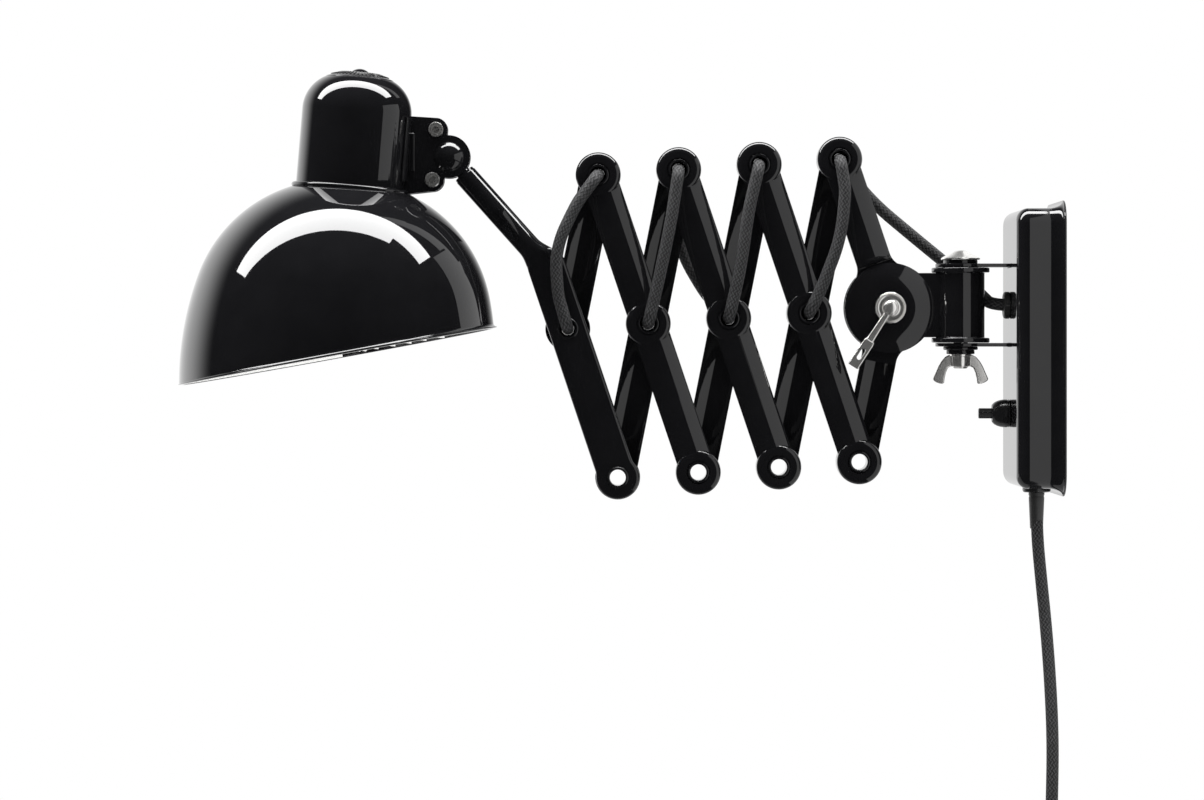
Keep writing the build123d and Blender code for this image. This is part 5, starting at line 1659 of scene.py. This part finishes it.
def cordGland():
    place = Vector((-boxSizes["gland"], 0, -boxSizes["height"] / 2))
    profile = [(4.06, -3.6), (8.0, -3.6), (8.8, -3.2), (9.2, -2.4), (9.2, 0), (6.0, 0)]
    profile += [(6.0, 1.2), (8.0, 1.2), (8.0, 4.2), (4.06, 4.2)]
    gland = placed(spun("gland", profile, 72, closed=True), place, toWall, up)
    dressed(gland, "cordGland", "plastic", "wall", ["cord_gland"], 35)
    sleeve = [(4.0, -3.4), (5.2, -3.4), (5.2, -5.2), (4.9, -5.8), (4.9, -6.6), (5.1, -7.2)]
    sleeve += [(4.25, -27.0), (4.0, -27.4)]
    relief = placed(spun("relief", sleeve, 48, closed=True), place, toWall, up)
    dressed(relief, "strainRelief", "rubber", "wall", [], 30)


cordGland()
print("stage: wall box")


# supply: plug and its pins

plugSizes = {"relief": 22.0, "length": 28.0, "neck": 20.0, "width": 34.0, "thickness": 13.7}


# rounded rectangle ring across the plug
def plugRing(width, thickness, corner, drop):
    corner = min(corner, thickness / 2 - 0.01, width / 2 - 0.01)
    ring = []
    for signX, signY, start in ((1, 1, 0), (-1, 1, 90), (-1, -1, 180), (1, -1, 270)):
        centre = (signX * (width / 2 - corner), signY * (thickness / 2 - corner))
        ring += [(x, y, -drop) for x, y in arc(centre, corner, start, start + 90, 6)]
    return ring


def makePlug():
    relief, length = plugSizes["relief"], plugSizes["length"]
    thick = plugSizes["thickness"]
    rings = [plugRing(8.2, 8.2, 4.1, 0.0), plugRing(9.0, 9.0, 4.5, 0.4)]
    for step in range(6):  # bending ribs of the plug's neck
        base = 1.2 + step * 3.2
        wide = 9.0 + step * 0.45
        rings += [plugRing(wide, wide, 5, base), plugRing(wide, wide, 5, base + 1.8)]
        rings += [plugRing(wide - 1, wide - 1, 5, base + 2.1)]
        rings += [plugRing(wide - 1, wide - 1, 5, base + 2.8)]
    rings += [plugRing(11.4, 11.2, 5.2, relief - 1.0), plugRing(15.0, 12.4, 5.0, relief + 0.2)]
    for step in range(9):
        share = step / 8
        wide = 18.6 + (plugSizes["width"] - 18.6) * (share ** 0.75)
        rings.append(plugRing(wide, thick - 0.4 * (1 - share), 5.0, relief + 1.4 + share * 20))
    wide = plugSizes["width"]
    rings += [plugRing(wide, thick, 4.6, relief + length - 2.0)]
    rings += [plugRing(wide - 0.6, thick - 0.6, 4.4, relief + length - 0.7)]
    rings += [plugRing(wide - 2.0, thick - 2.0, 3.8, relief + length)]
    plug = skinned("plug", rings)
    for level in range(5):  # finger grooves on both faces
        for side in (1, -1):
            groove = primitive(
                bpy.ops.mesh.primitive_cylinder_add,
                vertices=24,
                radius=0.8,
                depth=15,
                location=(0, side * (thick / 2 + 0.3), -relief - 10 - level * 2.8),
                rotation=(0, pi / 2, 0),
            )
            cutAway(plug, groove)
    placed(plug, plugStart, toWall, up)
    dressed(plug, "plug", "plastic", "wall", ["plug"], 35)
    pins = []
    for side in (1, -1):
        low = -relief - length
        profile = [(0, low + 1), (2, low + 1), (2, low - 18.2), (1.7, low - 18.8), (1.2, low - 19)]
        pins.append(moved(spun("pin", profile + [(0, low - 19)], 32), (side * 9.3, 0, 0)))
    joined(pins[0], pins[1])
    placed(pins[0], plugStart, toWall, up)
    dressed(pins[0], "plugPins", "nickel", "wall", ["plug_pins"], 30)
    return plug, pins[0]


plug, plugPins = makePlug()
print("stage: plug")


# closing: every solid that still shows gets a worked finish

carried = {
    "nickel": ["shell_screws", "clamp_bolt", "clamp_lever", "clamp_washer", "plug_pins", "hinge_bolt"],
    "zinc": ["wall_plate", "cover_screws"],
    "porcelain": ["lampholder"],
    "opal": ["bulb"],
    "plastic": ["cord_gland", "switch_collar", "switch_body", "switch_button", "terminal_block"],
    "rubber": ["box_grommet", "cord_tie", "plug", "arm_lead", "head_lead"],
}
for node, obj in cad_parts.items():
    finish = next((key for key, nodes in carried.items() if node in nodes), "steel")
    obj.data.materials.clear()
    obj.data.materials.append(finishes[finish])


# light: an overhead strip, a pale board on the wall side, dark flags and a pale floor

stripSizes = {"place": (-0.79, -0.05, 1.02), "size": (3.18, 0.42), "power": 76.0}
stripData = bpy.data.lights.new("overheadStrip", "AREA")  # it shines straight down
stripData.shape = "RECTANGLE"
stripData.size, stripData.size_y = stripSizes["size"]
stripData.energy = stripSizes["power"]
strip = bpy.data.objects.new("overheadStrip", stripData)
strip.location = stripSizes["place"]
bpy.context.scene.collection.objects.link(strip)


# plain stage sheet: how bright it is, whether the camera sees it and whether enamel mirrors it
def stageSheet(name, corners, glow, cameraSees, mirrored=True):
    obj = meshObject(name, corners, [], [(0, 1, 2, 3)])
    mix = Mixer(name)
    mix.tree.nodes.remove(mix.shader)
    ray = mix.node("LightPath")
    choice = mix.node("MixShader")
    if cameraSees:
        diffuse = mix.node("BsdfDiffuse", Color=(0.8, 0.8, 0.8, 1))
        emission = mix.node("Emission", Color=(1, 1, 1, 1), Strength=glow)
        plain = mix.node("AddShader")
        mix.feed(plain.inputs[0], emission.outputs[0])
        mix.feed(plain.inputs[1], diffuse.outputs[0])
    else:
        plain = mix.node("BsdfTransparent")
        glow = Signal(mix, mix.node("NewGeometry").outputs["Backfacing"]) * glow
    mirror = mix.node("Emission", Color=(1, 1, 1, 1), Strength=glow if mirrored else 0.0)
    mix.feed(choice.inputs[0], ray.outputs["Is Glossy Ray"])
    mix.feed(choice.inputs[1], plain.outputs[0])
    mix.feed(choice.inputs[2], mirror.outputs[0])
    mix.feed(mix.output.inputs["Surface"], choice.outputs[0])
    obj.data.materials.append(mix.material)


# upright sheets that face the head: x, low and high corner in y and z, and how bright they are
sideSheets = {
    "wallBoard": (0.012, (-0.57, -0.36), (0.39, 0.30), 1.0),
    "tallBoard": (0.012, (0.165, 0.3), (0.29, 1.5), 1.0),
    "shadeFlag": (-0.35, (-0.6, -0.3), (-0.019, 0.105), 0.0),
    "shadeCard": (-0.352, (-0.054, -0.1), (-0.019, 0.1), 1.0),
    "neckFlagNear": (-0.35, (-0.6, 0.105), (-0.085, 0.21), 0.0),
    "neckFlagFar": (-0.35, (-0.005, 0.105), (0.12, 0.21), 0.0),
}
for name, (x, low, high, glow) in sideSheets.items():
    corners = [(x, low[0], low[1]), (x, high[0], low[1]), (x, *high), (x, low[0], high[1])]
    stageSheet(name, corners, glow, False, glow > 0)
floorSizes = {"level": -1.3, "reach": 4.0, "glow": 0.55}
for name, near, far in (("floorBehind", 0, 1), ("floorFront", -1, 0)):
    reach, level = floorSizes["reach"], floorSizes["level"]
    near, far = near * reach, far * reach
    corners = [(-reach, near, level), (reach, near, level), (reach, far, level), (-reach, far, level)]
    stageSheet(name, corners, floorSizes["glow"], True, far > 0)

# backdrop: white to the camera, in mirrors only behind the lamp, and more so on its left
backdropSizes = {"lean": 0.45, "start": 0.6, "stop": 1.0, "leftShare": 0.9, "dull": 0.8}
studio = bpy.data.worlds.new("studio")
bpy.context.scene.world = studio
mix = Mixer("studio", studio)
mix.tree.nodes.clear()
heading = mix.node("SeparateXYZ", Vector=mix.node("TexCoord").outputs["Generated"])
across = Signal(mix, heading.outputs["X"])
away = Signal(mix, heading.outputs["Y"]) - across * backdropSizes["lean"]
behind = mix.node(
    "MapRange",
    {"interpolation_type": "SMOOTHSTEP"},
    Value=away,
    From_Min=backdropSizes["start"],
    From_Max=backdropSizes["stop"],
)
ray = mix.node("LightPath")
glow = mix.maths("MAXIMUM", ray.outputs["Is Camera Ray"], ray.outputs["Is Transmission Ray"])
mirrored = Signal(mix, ray.outputs["Is Glossy Ray"]) * Signal(mix, behind.outputs[0])
mirrored = mirrored * (1.0 - across * backdropSizes["leftShare"])
dull = Signal(mix, ray.outputs["Is Diffuse Ray"]) * backdropSizes["dull"]
glow = mix.maths("MAXIMUM", mix.maths("MAXIMUM", glow, mirrored), dull)
background = mix.node("Background", Color=(1, 1, 1, 1), Strength=glow)
mix.node("OutputWorld", Surface=background.outputs[0])
print("stage: light")
